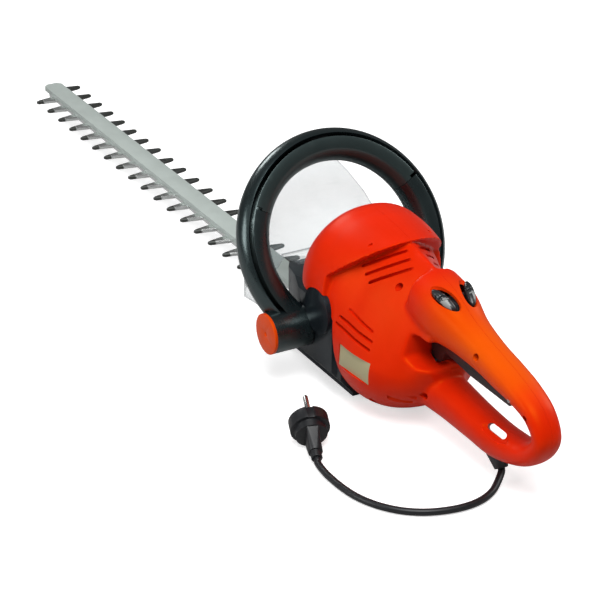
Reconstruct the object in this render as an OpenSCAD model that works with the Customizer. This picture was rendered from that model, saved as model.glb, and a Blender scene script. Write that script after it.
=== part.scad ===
/* [Cutting blades] */
// Height of the cutting plane above the surface the tool rests on
blade_plane_z = 30; // [29:0.5:31]
// Distance from one tooth to the next
tooth_pitch = 33; // [31:0.5:35]
// Number of teeth on each side of a blade
teeth_per_side = 18; // [8:1:20]
// Distance of the rearmost left tooth in front of the crank shaft
rear_tooth_x = 139; // [134:1:150]
// How far the right teeth stand ahead of the left ones
tooth_stagger = 24.5; // [18:0.5:25]
// Distance from the centre line to the tip of a tooth
tooth_reach = 33.4; // [28:0.2:38]
// Width of a tooth where it leaves the spine
tooth_root_w = 15; // [11:0.5:17]
// Width of a tooth at its rounded tip
tooth_tip_w = 4.6; // [3:0.2:6]
// Width of the spine of a blade
spine_w = 20; // [18:0.5:22]
// Thickness of each blade
blade_t = 2.2; // [1.8:0.1:2.6]
// Travel of each blade either way from the middle of its stroke
blade_throw = 8; // [6:0.5:8]
// Width of the support bar on top of the blades
bar_w = 22; // [20:0.5:23]
// Thickness of the support bar
bar_t = 5.6; // [4.6:0.2:6.4]
// How far the bar runs past the foremost left tooth
bar_nose = 33; // [28:1:40]
// Radius of the blade bolts' shanks
blade_bolt_r = 2.5; // [2.1:0.1:2.7]

/* [Drive train] */
// Module of the gear teeth
gear_module = 1.25; // [1.2:0.01:1.26]
// Teeth on the drive gear
gear_teeth = 60; // [56:2:60]
// Teeth on the motor pinion
pinion_teeth = 12; // [12:1:13]
// Thickness of the drive gear
gear_t = 9; // [7:0.5:9.5]
// Radius of the eccentric discs that push the blades
eccentric_r = 13.5; // [12.5:0.5:13.5]
// Radius of the crank shaft
crank_shaft_r = 5; // [4:0.5:5.5]
// Outer radius of the crank shaft's bearings
crank_bearing_r = 13; // [12:0.5:13.5]
// Radius of the motor shaft
motor_shaft_r = 4; // [3:0.5:4.5]
// Outer radius of the motor's bearings
motor_bearing_r = 11; // [10:0.5:11.5]
// Outer radius of the motor's stator
stator_r = 36; // [35:0.25:36.5]
// Height of the stator's iron
stator_h = 42; // [38:1:42]
// Outer radius of the armature's iron
core_r = 17.6; // [16:0.2:18]
// Air gap between armature and stator
air_gap = 0.7; // [0.5:0.1:1]
// Radius of the cooling fan
fan_r = 29; // [26:0.5:29]

/* [Gear case] */
// Half width of the gear case
case_half_w = 60; // [59:0.5:61]
// Height of the flat top of the gear case
case_top_z = 98; // [97:0.5:99]
// Distance of the case's front face in front of the crank shaft
case_front_x = 74; // [72:0.5:76]
// Distance of the case's back wall behind the crank shaft
case_back = 78; // [77:0.5:79]
// Wall of the gear case
case_wall = 3; // [2.4:0.1:3.2]
// Height of the flat pad that the tool rests on
pad_h = 5; // [4:0.5:6]
// Thickness of the bottom cover
cover_t = 5; // [4:0.5:5.5]

/* [Motor housing] */
// Wall of the moulded housing
housing_wall = 2.6; // [2:0.1:3]
// Half width of the motor housing at its widest
body_half_w = 62; // [61:0.25:63]
// Height of the top of the motor housing behind the hood
body_top_z = 165; // [164:0.5:167]
// Clearance of the belly above the surface the tool rests on
belly_z = 4; // [3:0.5:6]
// Half width of the hood over the motor
hood_half_w = 65; // [64:0.25:66]
// Height of the top of the hood
hood_top_z = 171; // [170:0.5:173]
// Width of a cooling slot
vent_w = 3.4; // [2:0.2:4]
// Gap between housing and gear case
shell_gap = 0.3; // [0.2:0.05:0.5]

/* [Rear handle] */
// Half width of the grip
grip_half_w = 16.5; // [16:0.25:17]
// Half thickness of the grip
grip_half_t = 13; // [12.5:0.25:13.5]
// Width of the trigger
trigger_w = 15; // [13:0.5:15.5]
// Radius of the trigger's pin
trigger_pin_r = 2; // [1.5:0.1:2.2]
// Diameter of the mains cord
cord_d = 6.5; // [6:0.1:7]

/* [Loop handle] */
// Radius of the loop's centre line
loop_r = 92.2; // [91:0.1:93]
// Radius of the loop's tube
loop_tube_r = 15.6; // [15:0.1:16]
// Wall of the loop's tube
loop_wall = 2.4; // [2:0.1:2.8]
// How far the loop leans forward from upright
loop_lean = 30; // [29:0.5:31]
// Height of the loop's centre
loop_centre_z = 115; // [114:0.5:116]
// Distance of the loop's centre in front of the crank shaft
loop_centre_x = 18; // [17:0.5:19]
// Radius of the hub at each foot of the loop
hub_r = 19.5; // [19:0.25:20]
// Length of each hub outside the gear case
hub_len = 38; // [36:0.5:40]
// Height of the hubs' axis
hub_z = 56; // [55:0.5:57]
// Distance of the hubs' axis behind the crank shaft
hub_back = 17; // [16:0.5:18]
// Thickness of the visible disc of an end cap
cap_t = 3; // [2:0.2:4]
// Thickness of the clear guard
guard_t = 2.5; // [2:0.1:3]

/* [Hidden] */

// ---- clearances ---------------------------------------------------------
run = 0.05;         // between sliding faces and in running bores
clear = 0.3;        // between neighbours that only lie side by side
over = 1;           // how far a cutting shape reaches past what it cuts
tiny = 0.02;
far = 400;

// ---- colours ------------------------------------------------------------
orange = "#e8410a";
black = "#15191a";
dark_grey = "#3a3f41";
steel = "#aab4b0";
bare_steel = "#c9cdcb";
copper = "#b8682e";
brass = "#c8a24a";
clear_plastic = [0.85, 0.9, 0.92, 0.35];

// ---- heights of the drive, from the cutting plane up and down ------------
upper_blade_z = blade_plane_z + run;
lower_blade_z = blade_plane_z - run - blade_t;
bar_z = upper_blade_z + blade_t + 2 * run;
bar_top_z = bar_z + bar_t;
gear_z = bar_top_z + run;
gear_top_z = gear_z + gear_t;
plate_z = gear_top_z + 3;
plate_t = 6;
bearing_t = 8;
motor_bearing_t = 7;
fan_z = plate_z + plate_t + 6;
fan_t = 12;
stator_z = fan_z + fan_t + 8;
stator_top_z = stator_z + stator_h;
commutator_z = stator_top_z + 6;
commutator_h = 14;
commutator_r = 12;
bracket_z = commutator_z + commutator_h + 1.5;
bracket_t = 3;
shaft_top_z = bracket_z + 11.5;
base_z = pad_h + cover_t;
low_bearing_top_z = lower_blade_z - 7.75;
low_bearing_z = low_bearing_top_z - bearing_t;

// ---- crank and gears ----------------------------------------------------
pressure_angle = 25;
backlash = 0.25;
gear_pitch_r = gear_module * gear_teeth / 2;
pinion_pitch_r = gear_module * pinion_teeth / 2;
gear_tip_r = gear_pitch_r + gear_module;
motor_x = -(gear_pitch_r + pinion_pitch_r);
motor_screw_r = 32.5;
post_r = 2.4;
motor_screw_shank_r = 1.5;
yoke_half_x = eccentric_r + 2 * blade_throw + 0.5;
yoke_half_y = eccentric_r + blade_throw + 1;
yoke_rim = 7;
crank_bearing_boss_r = crank_bearing_r + 4;
motor_bearing_boss_r = motor_bearing_r + 4;
crank_collar_r = crank_shaft_r + 2;

// ---- blades -------------------------------------------------------------
bush_wall = 1.4;
bush_r = blade_bolt_r + bush_wall;
slot_half_w = bush_r + 0.1;
slot_half_len = bush_r + blade_throw + 0.3;
washer_r = 7;
washer_t = 0.8;
bolt_head_r = 4.2;
bolt_head_h = 3.2;
nose_x = max(gear_tip_r, yoke_half_x + yoke_rim) + 5.25;
nose_len = 26;
nose_half_w = 12;
first_bolt_x = nose_x + slot_half_len - 0.2;
last_tooth_x = rear_tooth_x + (teeth_per_side - 1) * tooth_pitch;
bar_end_x = last_tooth_x + bar_nose;
bolt_count = 6;
bolt_step = (last_tooth_x - 0.2 * tooth_pitch - first_bolt_x) / (bolt_count - 1);
bolt_x = [for (i = [0:bolt_count - 1]) first_bolt_x + i * bolt_step];
blade_front_x = last_tooth_x + tooth_stagger - 4;

// ---- gear case ----------------------------------------------------------
slot_half_h = 6.25;
front_slot_z = blade_plane_z + 2.75;
boss_r = 22;
boss_x = -46;
boss_z = 84;
case_bolt_boss_r = 8;
handle_bolt_r = 3;
handle_bolt_head_r = 5;
case_screw_y = case_half_w - 23;
case_screw_at = [[-66, case_screw_y], [-66, -case_screw_y], [34, case_screw_y], [34, -case_screw_y]];
case_screw_r = 2;

// ---- housing ------------------------------------------------------------
lock_d = 178;
lock_y = 13;
lock_z = 142;
lock_top_z = 135;
lock_button_h = 7.5;
lock_travel = 2.5;
lock_inner_y = 6.5;
lock_outer_y = 13.5;
lock_stem_y = lock_travel + clear + 0.1;
cradle_z = 124;
cradle_half_w = 15;
cradle_t = 3;
cap_back = 126;
cap_z = 60;
clamp_back = 229;
clamp_z = 27.5;
clamp_y = 5.5;
pin_d = 287;
pin_z = 94.5;
label_back = 105;
label_z = 55;
label_w = 42;
label_h = 22;
label_t = 1;
label_gap = 0.2;
label_seat_y = body_half_w - 5.2;
screw_r = 1.6;
screw_boss_r = 4.5;
screw_head_r = 3.2;
screw_reach = 6;    // how far the screws reach past the seam into the right half
// The housing screws: distance behind the crank shaft, height, and how far the head's seat is off the seam
screw_at = [[123, 131.5, 13], [237, 112, 8], [pin_d + 22, pin_z - 7.5, 8], [166, 42, 12], [118, 20, 30]];
ridge_slope = atan2(47, 40);
boot_top = [-251, 0, 26];
boot_tip = [-259.5, 0, 11];
boot_neck_r = 7.3;
boot_collar_r = boot_neck_r + 0.7;
hook_r = 3.2;
hook_wall = 1.8;

// ---- loop handle --------------------------------------------------------
arc_from = -48;
bar_from = 28;
bar_out = loop_r - loop_tube_r - 1.6;
bar_in = bar_out + 6.2;
bar_half_t = 6.8;
bar_travel = 1.5;
switch_up = loop_r + 10.8;

// ---- small helpers ------------------------------------------------------
function unit(v) = v / norm(v);

// A closed anticlockwise outline moved outward by d, with sharp corners.
function mitred(pts, d) = [
    for (i = [0:len(pts) - 1])
        let (n = len(pts), u = unit(pts[i] - pts[(i + n - 1) % n]), v = unit(pts[(i + 1) % n] - pts[i]),
             nu = [u[1], -u[0]], nv = [v[1], -v[0]])
        pts[i] + d * (nu + nv) / (1 + nu * nv)
];

module ring(r_out, r_in, h) difference() {
    cylinder(r = r_out, h = h, $fn = 64);
    translate([0, 0, -over]) cylinder(r = r_in, h = h + 2 * over, $fn = 64);
}
// Children drawn in the X-Z plane and as thick as w, centred on Y = 0.
module across(w) rotate([90, 0, 0]) linear_extrude(w, center = true) children();
// A rod from y0 to y1 at the given X and Z.
module rod_y(x, y0, y1, z, r, sides = 48)
    translate([x, y0, z]) rotate([-90, 0, 0]) cylinder(r = r, h = y1 - y0, $fn = sides);
module both_sides() {
    children();
    mirror([0, 1, 0]) children();
}
module block(x0, x1, y0, y1, z0, z1) translate([x0, y0, z0]) cube([x1 - x0, y1 - y0, z1 - z0]);

// ---- smooth curves through a few stations -------------------------------
// A station is a list whose first entry is the place along the curve.
function seg_of(tab, x, i = 0) = i >= len(tab) - 2 || x <= tab[i + 1][0] ? i : seg_of(tab, x, i + 1);
function slope_at(tab, i, k) =
    let (a = max(i - 1, 0), b = min(i + 1, len(tab) - 1))
    (tab[b][k] - tab[a][k]) / (tab[b][0] - tab[a][0]);
function smooth_k(tab, x, k) =
    let (i = seg_of(tab, x), h = tab[i + 1][0] - tab[i][0], t = (x - tab[i][0]) / h)
    (2 * t^3 - 3 * t^2 + 1) * tab[i][k] + (t^3 - 2 * t^2 + t) * h * slope_at(tab, i, k)
    + (3 * t^2 - 2 * t^3) * tab[i + 1][k] + (t^3 - t^2) * h * slope_at(tab, i + 1, k);
function smooth(tab, x) = [for (k = [1:len(tab[0]) - 1]) smooth_k(tab, x, k)];

// A squared egg section, anticlockwise from its lowest point.
section_n = 28;
function power(v, p) = sign(v) * pow(abs(v), p);
function squared_section(w, up, down, n_up, n_down) = [
    for (i = [0:section_n - 1])
        let (a = -90 + 360 * i / section_n, s = sin(a), n = s < 0 ? n_down : n_up)
        [w * power(cos(a), 2 / n), power(s, 2 / n) * (s < 0 ? down : up)]
];

// Closed solid through a list of rings, each ring a list of 3-D points.
module loft(rings) {
    n = len(rings[0]);
    last = len(rings) - 1;
    polyhedron(
        points = [for (ring = rings) each ring],
        faces = [
            [for (j = [n - 1:-1:0]) j],
            each [for (i = [0:last - 1]) each [for (j = [0:n - 1])
                let (a = i * n + j, b = i * n + (j + 1) % n) each [[a, b, b + n], [a, b + n, a + n]]]],
            [for (j = [0:n - 1]) last * n + j]
        ],
        convexity = 6);
}

// ---- the two housing halves ---------------------------------------------
// Distance behind the crank shaft, half width, top, bottom, widest level, squareness above and below.
body_tab = [
    [30,  body_half_w - 2,  body_top_z - 2,  30, 88, 2.1, 2.6],
    [60,  body_half_w,      body_top_z,      12, 76, 1.9, 2.7],
    [85,  body_half_w,      body_top_z - 1,  belly_z + 1, 64, 1.5, 2.6],
    [105, body_half_w - 1,  body_top_z - 4,  belly_z, 60, 1.36, 2.5],
    [125, body_half_w - 6,  body_top_z - 7,  belly_z + 4, 58, 1.26, 2.4],
    [145, body_half_w - 16, body_top_z - 11, belly_z + 14, 58, 1.2, 2.2],
    [162, body_half_w - 28, body_top_z - 15, 32, 62, 1.3, 2.0],
    [176, body_half_w - 38, body_top_z - 21, 56, 90, 1.6, 2.0],
];
hood_tab = [
    [-6,  hood_half_w - 25, hood_top_z - 45, case_top_z + 2, case_top_z + 3, 2.2, 2.2],
    [8,   hood_half_w - 8,  hood_top_z - 19, case_top_z - 2, case_top_z + 2, 2.2, 2.2],
    [26,  hood_half_w - 1,  hood_top_z - 2,  case_top_z - 6, case_top_z, 2.2, 2.2],
    [50,  hood_half_w - 1,  hood_top_z,      case_top_z - 6, case_top_z, 2.2, 2.2],
    [75,  hood_half_w - 5,  hood_top_z - 2,  case_top_z - 6, case_top_z, 2.2, 2.2],
    [108, hood_half_w - 14, hood_top_z - 7,  case_top_z - 6, case_top_z, 2.2, 2.2],
];
// Place along the handle, distance behind the crank shaft, height, half width, half thickness.
handle_tab = [
    [0, 140, 127, grip_half_w + 9.5, grip_half_t + 14],
    [1, 172, 121, grip_half_w + 9.5, grip_half_t + 13],
    [2, 203, 114, grip_half_w + 3, grip_half_t + 6],
    [3, 235, 108, grip_half_w, grip_half_t + 2],
    [4, 262, 103, grip_half_w, grip_half_t],
    [5, pin_d, 98, grip_half_w - 0.5, grip_half_t - 2.5],
    [6, pin_d + 24, 88, grip_half_w - 2, grip_half_t - 4],
    [7, pin_d + 35, 69, grip_half_w - 3, grip_half_t - 4.5],
    [8, pin_d + 16, 47.5, grip_half_w - 1, grip_half_t - 3],
    [9, 262, 38, grip_half_w + 1, grip_half_t + 1],
    [10, 225, 38.5, grip_half_w + 1, grip_half_t + 2.5],
    [11, 185, 41, grip_half_w + 2, grip_half_t + 5],
    [12, 145, 43, grip_half_w + 6, grip_half_t + 7],
];

module body_form(inset) {
    stations = [30 + inset:8.1:176 - inset];
    loft([for (d = stations)
        let (s = smooth(body_tab, d),
             ring = squared_section(s[0] - inset, s[1] - s[3] - inset, s[3] - s[2] - inset, s[4], s[5]))
        [for (p = ring) [-d, p[0], s[3] + p[1]]]]);
}
// The hood ends behind in a slanting ridge, and upright below the ridge's foot.
module hood_form(inset) {
    stations = [-6 + inset:7.1:108];
    back = inset * 1.3;
    difference() {
        loft([for (d = stations)
            let (s = smooth(hood_tab, d),
                 ring = squared_section(s[0] - inset, s[1] - s[3] - inset, s[3] - s[2], s[4], s[5]))
            [for (p = ring) [-d, p[0], s[3] + p[1]]]]);
        behind_ridge(back);
    }
}
// Everything behind the hood's ridge, drawn forward by a distance.
module behind_ridge(forward) across(2 * far) polygon([
    [forward - 57, 0], [forward - 57, 123], [forward - 104, hood_top_z - 8], [forward - 130, hood_top_z + 14],
    [-far, hood_top_z + 14], [-far, 0]
]);
module handle_form(inset) {
    steps = [inset * 0.02:0.3:12];
    loft([for (u = steps)
        let (s = smooth(handle_tab, u),
             ahead = smooth(handle_tab, min(u + 0.05, 12)),
             back = smooth(handle_tab, max(u - 0.05, 0)),
             dir = unit([ahead[0] - back[0], ahead[1] - back[1]]),
             ring = squared_section(s[2] - inset, s[3] - inset, s[3] - inset, 2.5, 2.5))
        [for (p = ring) [-s[0] + dir[1] * p[1], p[0], s[1] + dir[0] * p[1]]]]);
}
// The opening of the rear handle, as seen from the side, made smaller by g.
opening_pts = [
    [-152, 99], [-152, 78], [-162, 72], [-180, 69], [-194, 62], [-206, 55],
    [-262, 51], [3 - pin_d, 57], [-pin_d - 12, 68], [-pin_d - 7, 82], [3 - pin_d, 86], [-235, 94]
];
module handle_opening(g) across(140) offset(delta = -g) polygon(opening_pts);

module housing_shape(inset) {
    difference() {
        body_form(inset);
        handle_opening(-inset);
    }
    hood_form(inset);
    handle_form(inset);
}
// What the gear case takes out of the housing: everything ahead of its back edge.
module case_zone() {
    across(2 * far) polygon([
        [-84, -over], [-81, 29], [-75, 55], [-71, 84], [-57, case_top_z + shell_gap],
        [far, case_top_z + shell_gap], [far, -over]
    ]);
    case_shape(shell_gap);
    rod_y(boss_x, -case_half_w - 20, case_half_w + 20, boss_z, boss_r + shell_gap + 0.1);
}
// A slot between two places on the shell, cut along the direction that turn gives.
module slot(from, to, turn, depth) hull() for (p = [from, to])
    translate(p) rotate(turn) cylinder(d = vent_w, h = depth, $fn = 16);
// Cooling slots behind the hood, in the flank and low down at the back.
module vents(side) {
    intersection() {
        for (row = [[-75.7, 34, 134, -101.3, 7, 151], [-79.6, 34.5, 127, -109.8, 9.5, 148],
                    [-87.9, 35.5, 120, -120, 11.5, 142.5]])
            slot([row[0], side * row[1], row[2]], [row[3], side * row[4], row[5]], [0, ridge_slope - 90, 0], 30);
        behind_ridge(0);
    }
    for (row = [[-87, 100, -118, 91], [-79, 91, -121, 82.5], [-76, 84, -121, 75]])
        slot([row[0], side * 30, row[1]], [row[2], side * 30, row[3]], [-90 * side, 0, 0], 50);
    for (i = [0:1])
        slot([-140 - 14 * i, side * 42, 8], [-153 - 6 * i, side * 26, 8], [0, 0, 0], 32);
}
// Slanting slot in the lower bar that the mains cord's loop is hooked through.
module hook_slot(r) hull() {
    for (x = [-254, -279]) translate([x, 11, 54]) sphere(r = r, $fn = 16);
    for (x = [-210, -235]) translate([x, -22, 22]) sphere(r = r, $fn = 16);
}
module lock_recess() hull() {
    for (x = [-7, 7]) translate([x - lock_d, lock_y, lock_z + 1]) sphere(r = 7.2, $fn = 24);
}
module housing_bosses(side) {
    for (s = screw_at) rod_y(-s[0], side > 0 ? 0 : -80, side > 0 ? 80 : 0, s[1], screw_boss_r, 20);
    rod_y(-pin_d, side > 0 ? 9 : -80, side > 0 ? 80 : -9, pin_z, trigger_pin_r + 2.5, 20);
    // ledges that carry the switch cradle and the capacitor, and the seat of the cord clamp
    scale([1, side, 1]) {
        block(-lock_d - 18, -lock_d + 14, cradle_half_w - cradle_t, far, cradle_z - cradle_t, cradle_z);
        block(-cap_back - 12, -cap_back + 12, 5, far, cap_z - 3, cap_z);
    }
    if (side > 0) block(-clamp_back - 7, -clamp_back + 7, clamp_y - 3.5, clamp_y + 3.5, 0, clamp_z);
}
module housing_half(side) intersection() {
    block(-far, far, side > 0 ? 0 : -far, side > 0 ? far : 0, -over, far);
    difference() {
        housing_shape(0);
        difference() {
            housing_shape(housing_wall);
            housing_bosses(side);
            hook_slot(hook_r + hook_wall);
        }
        case_zone();
        vents(side);
        hook_slot(hook_r);
        // moulding dimple on the hood
        scale([1, side, 1]) rod_y(-85.5, 28.5, 90, 158.5, 1.6, 16);
        // room for the switch cradle, wherever the lock buttons stand
        block(-lock_d - 20 - clear, -lock_d + 16 + clear, -cradle_half_w - clear, cradle_half_w + clear,
              cradle_z, cradle_z + cradle_t + clear);
        if (side > 0) lock_recess();
        else mirror([0, 1, 0]) lock_recess();
        // slot for the trigger, from the front of the opening to the pin
        block(-pin_d - 7, -152, -trigger_w / 2 - 0.6, trigger_w / 2 + 0.6, 70, 101);
        for (s = screw_at) rod_y(-s[0], -80, 80, s[1], screw_r + 0.15, 16);
        for (s = screw_at) rod_y(-s[0], s[2] - 0.1, 90, s[1], screw_head_r + 0.3, 20);
        rod_y(-pin_d, -pin_half_len - 0.1, pin_half_len + 0.1, pin_z, trigger_pin_r + run, 24);
        if (side > 0) at_label() block(-label_w / 2 - label_gap, label_w / 2 + label_gap, 0, far,
                                       -label_h / 2 - label_gap, label_h / 2 + label_gap);
        // hole for the strain relief
        translate(boot_top - [0, 0, 7]) cylinder(r = boot_neck_r + clear, h = 11, $fn = 24);
    }
}
pin_half_len = grip_half_w - housing_wall + 1.6;
module housing_left() color(orange) housing_half(1);
module housing_right() color(orange) housing_half(-1);

module housing_screws() color(dark_grey)
    for (s = screw_at) {
        rod_y(-s[0], -screw_reach, s[2], s[1], screw_r, 24);
        difference() {
            rod_y(-s[0], s[2], s[2] + 2.4, s[1], screw_head_r, 24);
            translate([-s[0], s[2] + 2, s[1]]) cube([1, 2, 4.4], center = true);
        }
    }
// The label's own frame: X along it, Z up it, Y out of the flank.
module at_label() translate([-label_back, label_seat_y, label_z]) rotate([0, -5, 9]) children();
module label_plate() color("#d8d4b8") at_label()
    block(-label_w / 2, label_w / 2, 0, label_t, -label_h / 2, label_h / 2);

// ---- switches in the grip -----------------------------------------------
module lock_button() translate([-lock_d, 0, lock_top_z]) {
    difference() {
        translate([-7.5, lock_inner_y, -lock_button_h])
            cube([15, lock_outer_y - lock_inner_y, lock_button_h]);
        // grooves for the thumb's grip
        for (y = [8:2:12]) translate([-8, y, 0]) rotate([45, 0, 0])
            translate([0, -0.4, -0.4]) cube([16, 0.8, 0.8]);
    }
    translate([-3, lock_stem_y, -6]) cube([6, lock_inner_y - lock_stem_y + tiny, 5]);
}
module lock_button_left() color(dark_grey) lock_button();
module lock_button_right() color(dark_grey) mirror([0, 1, 0]) lock_button();

module trigger() color(black) {
    reach = trigger_w - 0.6;
    difference() {
        union() {
            across(reach) polygon([
                [-154, 97], [-154, 76], [-157, 73.5], [-168, 73.5], [-172, 77], [-176, 86.5],
                [-217, 82.5], [-277, 82], [4 - pin_d, pin_z - 7], [-pin_d, pin_z - 5.5],
                [-pin_d, pin_z + 3.5], [-235, 99], [-178, 104]
            ]);
            rod_y(-pin_d, -reach / 2, reach / 2, pin_z, 5);
        }
        rod_y(-pin_d, -trigger_w, trigger_w, pin_z, trigger_pin_r + run);
    }
}
module trigger_pin() color(bare_steel)
    rod_y(-pin_d, -pin_half_len, pin_half_len, pin_z, trigger_pin_r);

// Plastic frame between the halves that guides the lock buttons and holds the switch.
guide_half_w = lock_inner_y - lock_travel - clear;
module switch_cradle() color(dark_grey) difference() {
    union() {
        block(-lock_d - 9, -lock_d + 9, -guide_half_w, guide_half_w, cradle_z + cradle_t - 1, lock_top_z + 2);
        block(-lock_d - 20, -lock_d + 16, -cradle_half_w, cradle_half_w, cradle_z, cradle_z + cradle_t);
    }
    block(-lock_d - 3.2, -lock_d + 3.2, -far, far, lock_top_z - 6.2, lock_top_z - 0.8);
}
module rear_switch() color(dark_grey) {
    block(-lock_d - 12, -lock_d + 12, -8, 8, cradle_z - 11, cradle_z);
    block(-lock_d - 2, -lock_d + 2, -2, 2, cradle_z - 13, cradle_z - 11 + tiny);
}
module capacitor() color("#3b5f8a")
    block(-cap_back - 14, -cap_back + 14, -9, 9, cap_z, cap_z + 26);

// ---- cord, strain relief and plug ---------------------------------------
cord_r = cord_d / 2;
plug_r = 18;
plug_centre = [-126, 115.5, 19];
plug_axis = [0.895, -0.298, 0.33];
// The cord's way from the strain relief down to the ground and round to the plug.
cord_route = [
    [-259.5, 0, 11], [-261.5, 1, 9], [-265, 5, 6.5], [-271, 12, 4.5], [-278, 21, 3.6], [-284, 33, 3.4],
    [-287, 46, 3.3], [-287, 60, 3.3], [-284, 75, 3.3], [-278, 90, 3.3], [-269, 103, 3.3],
    [-258, 113, 3.3], [-245, 121, 3.3], [-229, 127, 3.3], [-212, 130, 3.3], [-195, 131, 3.3],
    [-182, 131, 3.6], for (back = [46, 42, 37]) plug_centre - back * unit(plug_axis)
];
function frame_at(pts, i) =
    let (a = pts[max(i - 1, 0)], b = pts[min(i + 1, len(pts) - 1)], t = unit(b - a),
         s = unit(cross([0, 0, 1], t)))
    [s, cross(t, s)];
module sweep_tube(pts, r, sides) loft([for (i = [0:len(pts) - 1])
    let (f = frame_at(pts, i))
    [for (k = [0:sides - 1]) let (a = -360 * k / sides) pts[i] + r * cos(a) * f[0] + r * sin(a) * f[1]]]);
module cord() color(black) sweep_tube(cord_route, cord_r, 10);

// Turns the Z axis onto the direction v.
module aim(v) rotate([0, acos(v[2] / norm(v)), atan2(v[1], v[0])]) children();

module strain_relief() color(black) {
    axis = boot_tip - boot_top;
    difference() {
        union() {
            translate(boot_top - [0, 0, 4]) cylinder(r = boot_neck_r, h = 7.2, $fn = 32);
            translate(boot_top + [0, 0, 1.9]) cylinder(r = boot_collar_r, h = 1.3, $fn = 32);
            hull() {
                for (x = [-241, -259]) translate([x, 0, 20.4]) cylinder(r = 5.6, h = 2, $fn = 32);
                translate(boot_tip - 5 * unit(axis)) aim(axis) cylinder(r = 6, h = 4.9, $fn = 32);
            }
        }
        translate(boot_tip - 2 * unit(axis)) aim(axis) cylinder(r = cord_r + run, h = 10, $fn = 32);
    }
}
// Two-part clamp on the leads inside the lower bar.
module cord_clamp() color(dark_grey) difference() {
    block(-clamp_back - 7, -clamp_back + 7, clamp_y - 3.5, clamp_y + 3.5, clamp_z, clamp_z + 7.5);
    translate([-clamp_back, clamp_y, clamp_z + 4]) rotate([0, 90, 0])
        cylinder(r = 2, h = 20, center = true, $fn = 24);
}

module at_plug() translate(plug_centre) aim(plug_axis) rotate([0, 0, 180]) children();
module plug_body() color(black) at_plug() difference() {
    union() {
        translate([0, 0, -6]) cylinder(r = plug_r, h = 12, $fn = 48);
        translate([0, 0, -13]) cylinder(r = plug_r - 3.5, h = 7 + tiny, $fn = 48);
        hull() {
            translate([-13, -5, -12]) cube([26, 10, 2]);
            translate([0, 0, -33]) cylinder(r = 6.5, h = 8, $fn = 32);
        }
        translate([0, 0, -40]) cylinder(r = 5, h = 8, $fn = 32);
    }
    for (a = [0, 180]) rotate([0, 0, a]) translate([plug_r - 1.4, -3, -8]) cube([4, 6, 16]);
    for (s = [-1, 1]) translate([s * 9.5, 0, -3]) cylinder(r = 2.4 + tiny, h = 12, $fn = 32);
    translate([0, 0, -45]) cylinder(r = cord_r + run, h = 9, $fn = 32);
}
module plug_pins() color(bare_steel) at_plug() for (s = [-1, 1]) translate([s * 9.5, 0, -3]) {
    cylinder(r = 2.4, h = 27, $fn = 32);
    translate([0, 0, 27]) cylinder(r1 = 2.4, r2 = 1.4, h = 2, $fn = 32);
}

// ---- loop handle --------------------------------------------------------
// Puts the loop's own frame in place: X up the loop, Y to the side, Z out of its plane.
module at_loop() translate([loop_centre_x, 0, loop_centre_z]) rotate([0, loop_lean - 90, 0]) children();
module arc_solid(r, half) rotate([0, 0, arc_from - 90])
    rotate_extrude(angle = 360 - 2 * (arc_from + 90), $fn = 96)
        translate([loop_r, 0]) intersection() {
            circle(r = r, $fn = 48);
            translate([-r - over, half > 0 ? 0 : -r - over]) square([2 * (r + over), r + over]);
        }
module hub_cylinder(r, y0, y1) both_sides() rod_y(-hub_back, y0, y1, hub_z, r, 64);
hub_end_y = case_half_w + hub_len;
hub_bore_r = hub_r - 3.7;
hub_floor = 3;
module bar_slot() at_loop()
    rotate([0, 0, bar_from - 90 - 1]) rotate_extrude(angle = 182 - 2 * bar_from, $fn = 96)
    translate([bar_out - over, -bar_half_t - clear])
    square([bar_in + bar_travel + 1.5 - bar_out, 2 * (bar_half_t + clear)]);
module loop_half(half) difference() {
    union() {
        at_loop() arc_solid(loop_tube_r, half);
        if (half < 0) hub_cylinder(hub_r, case_half_w, hub_end_y);
    }
    at_loop() arc_solid(loop_tube_r - loop_wall, half);
    if (half < 0) {
        hub_cylinder(hub_bore_r, case_half_w + hub_floor, hub_end_y + over);
        hub_cylinder(handle_bolt_r + 0.1, case_half_w - over, case_half_w + hub_floor + over);
    }
    else hub_cylinder(hub_r + run, case_half_w - over, hub_end_y + over);
    block(-far, far, -case_half_w, case_half_w, 0, 92);
    bar_slot();
}
module loop_handle_front() color(black) loop_half(-1);
module loop_handle_rear() color(black) loop_half(1);

module front_switch_bar() color(black) at_loop() {
    rotate([0, 0, bar_from - 90]) rotate_extrude(angle = 180 - 2 * bar_from, $fn = 96)
        translate([bar_out, -bar_half_t]) square([bar_in - bar_out, 2 * bar_half_t]);
}
module front_switch() color(dark_grey) at_loop()
    block(bar_in + bar_travel + 2, switch_up, -9, 9, -4.5, 4.5);

module end_cap() {
    rod_y(-hub_back, hub_end_y, hub_end_y + cap_t, hub_z, hub_r, 64);
    difference() {
        rod_y(-hub_back, hub_end_y - 4, hub_end_y + tiny, hub_z, hub_bore_r - run, 64);
        rod_y(-hub_back, hub_end_y - 5, hub_end_y - tiny, hub_z, hub_bore_r - 2, 64);
    }
}
module end_cap_left() color(orange) difference() {
    end_cap();
    rod_y(-hub_back, hub_end_y + cap_t - 1, hub_end_y + cap_t + over, hub_z, 2.2);
}
module end_cap_right() color(orange) mirror([0, 1, 0]) difference() {
    end_cap();
    rod_y(-hub_back, hub_end_y + cap_t - 1, hub_end_y + cap_t + over, hub_z, 2.2);
}
module handle_bolts() color(bare_steel) both_sides() {
    rod_y(-hub_back, case_half_w - 12, case_half_w + hub_floor + tiny, hub_z, handle_bolt_r);
    rod_y(-hub_back, case_half_w + hub_floor, case_half_w + hub_floor + 5, hub_z, handle_bolt_head_r, 6);
}

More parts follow.
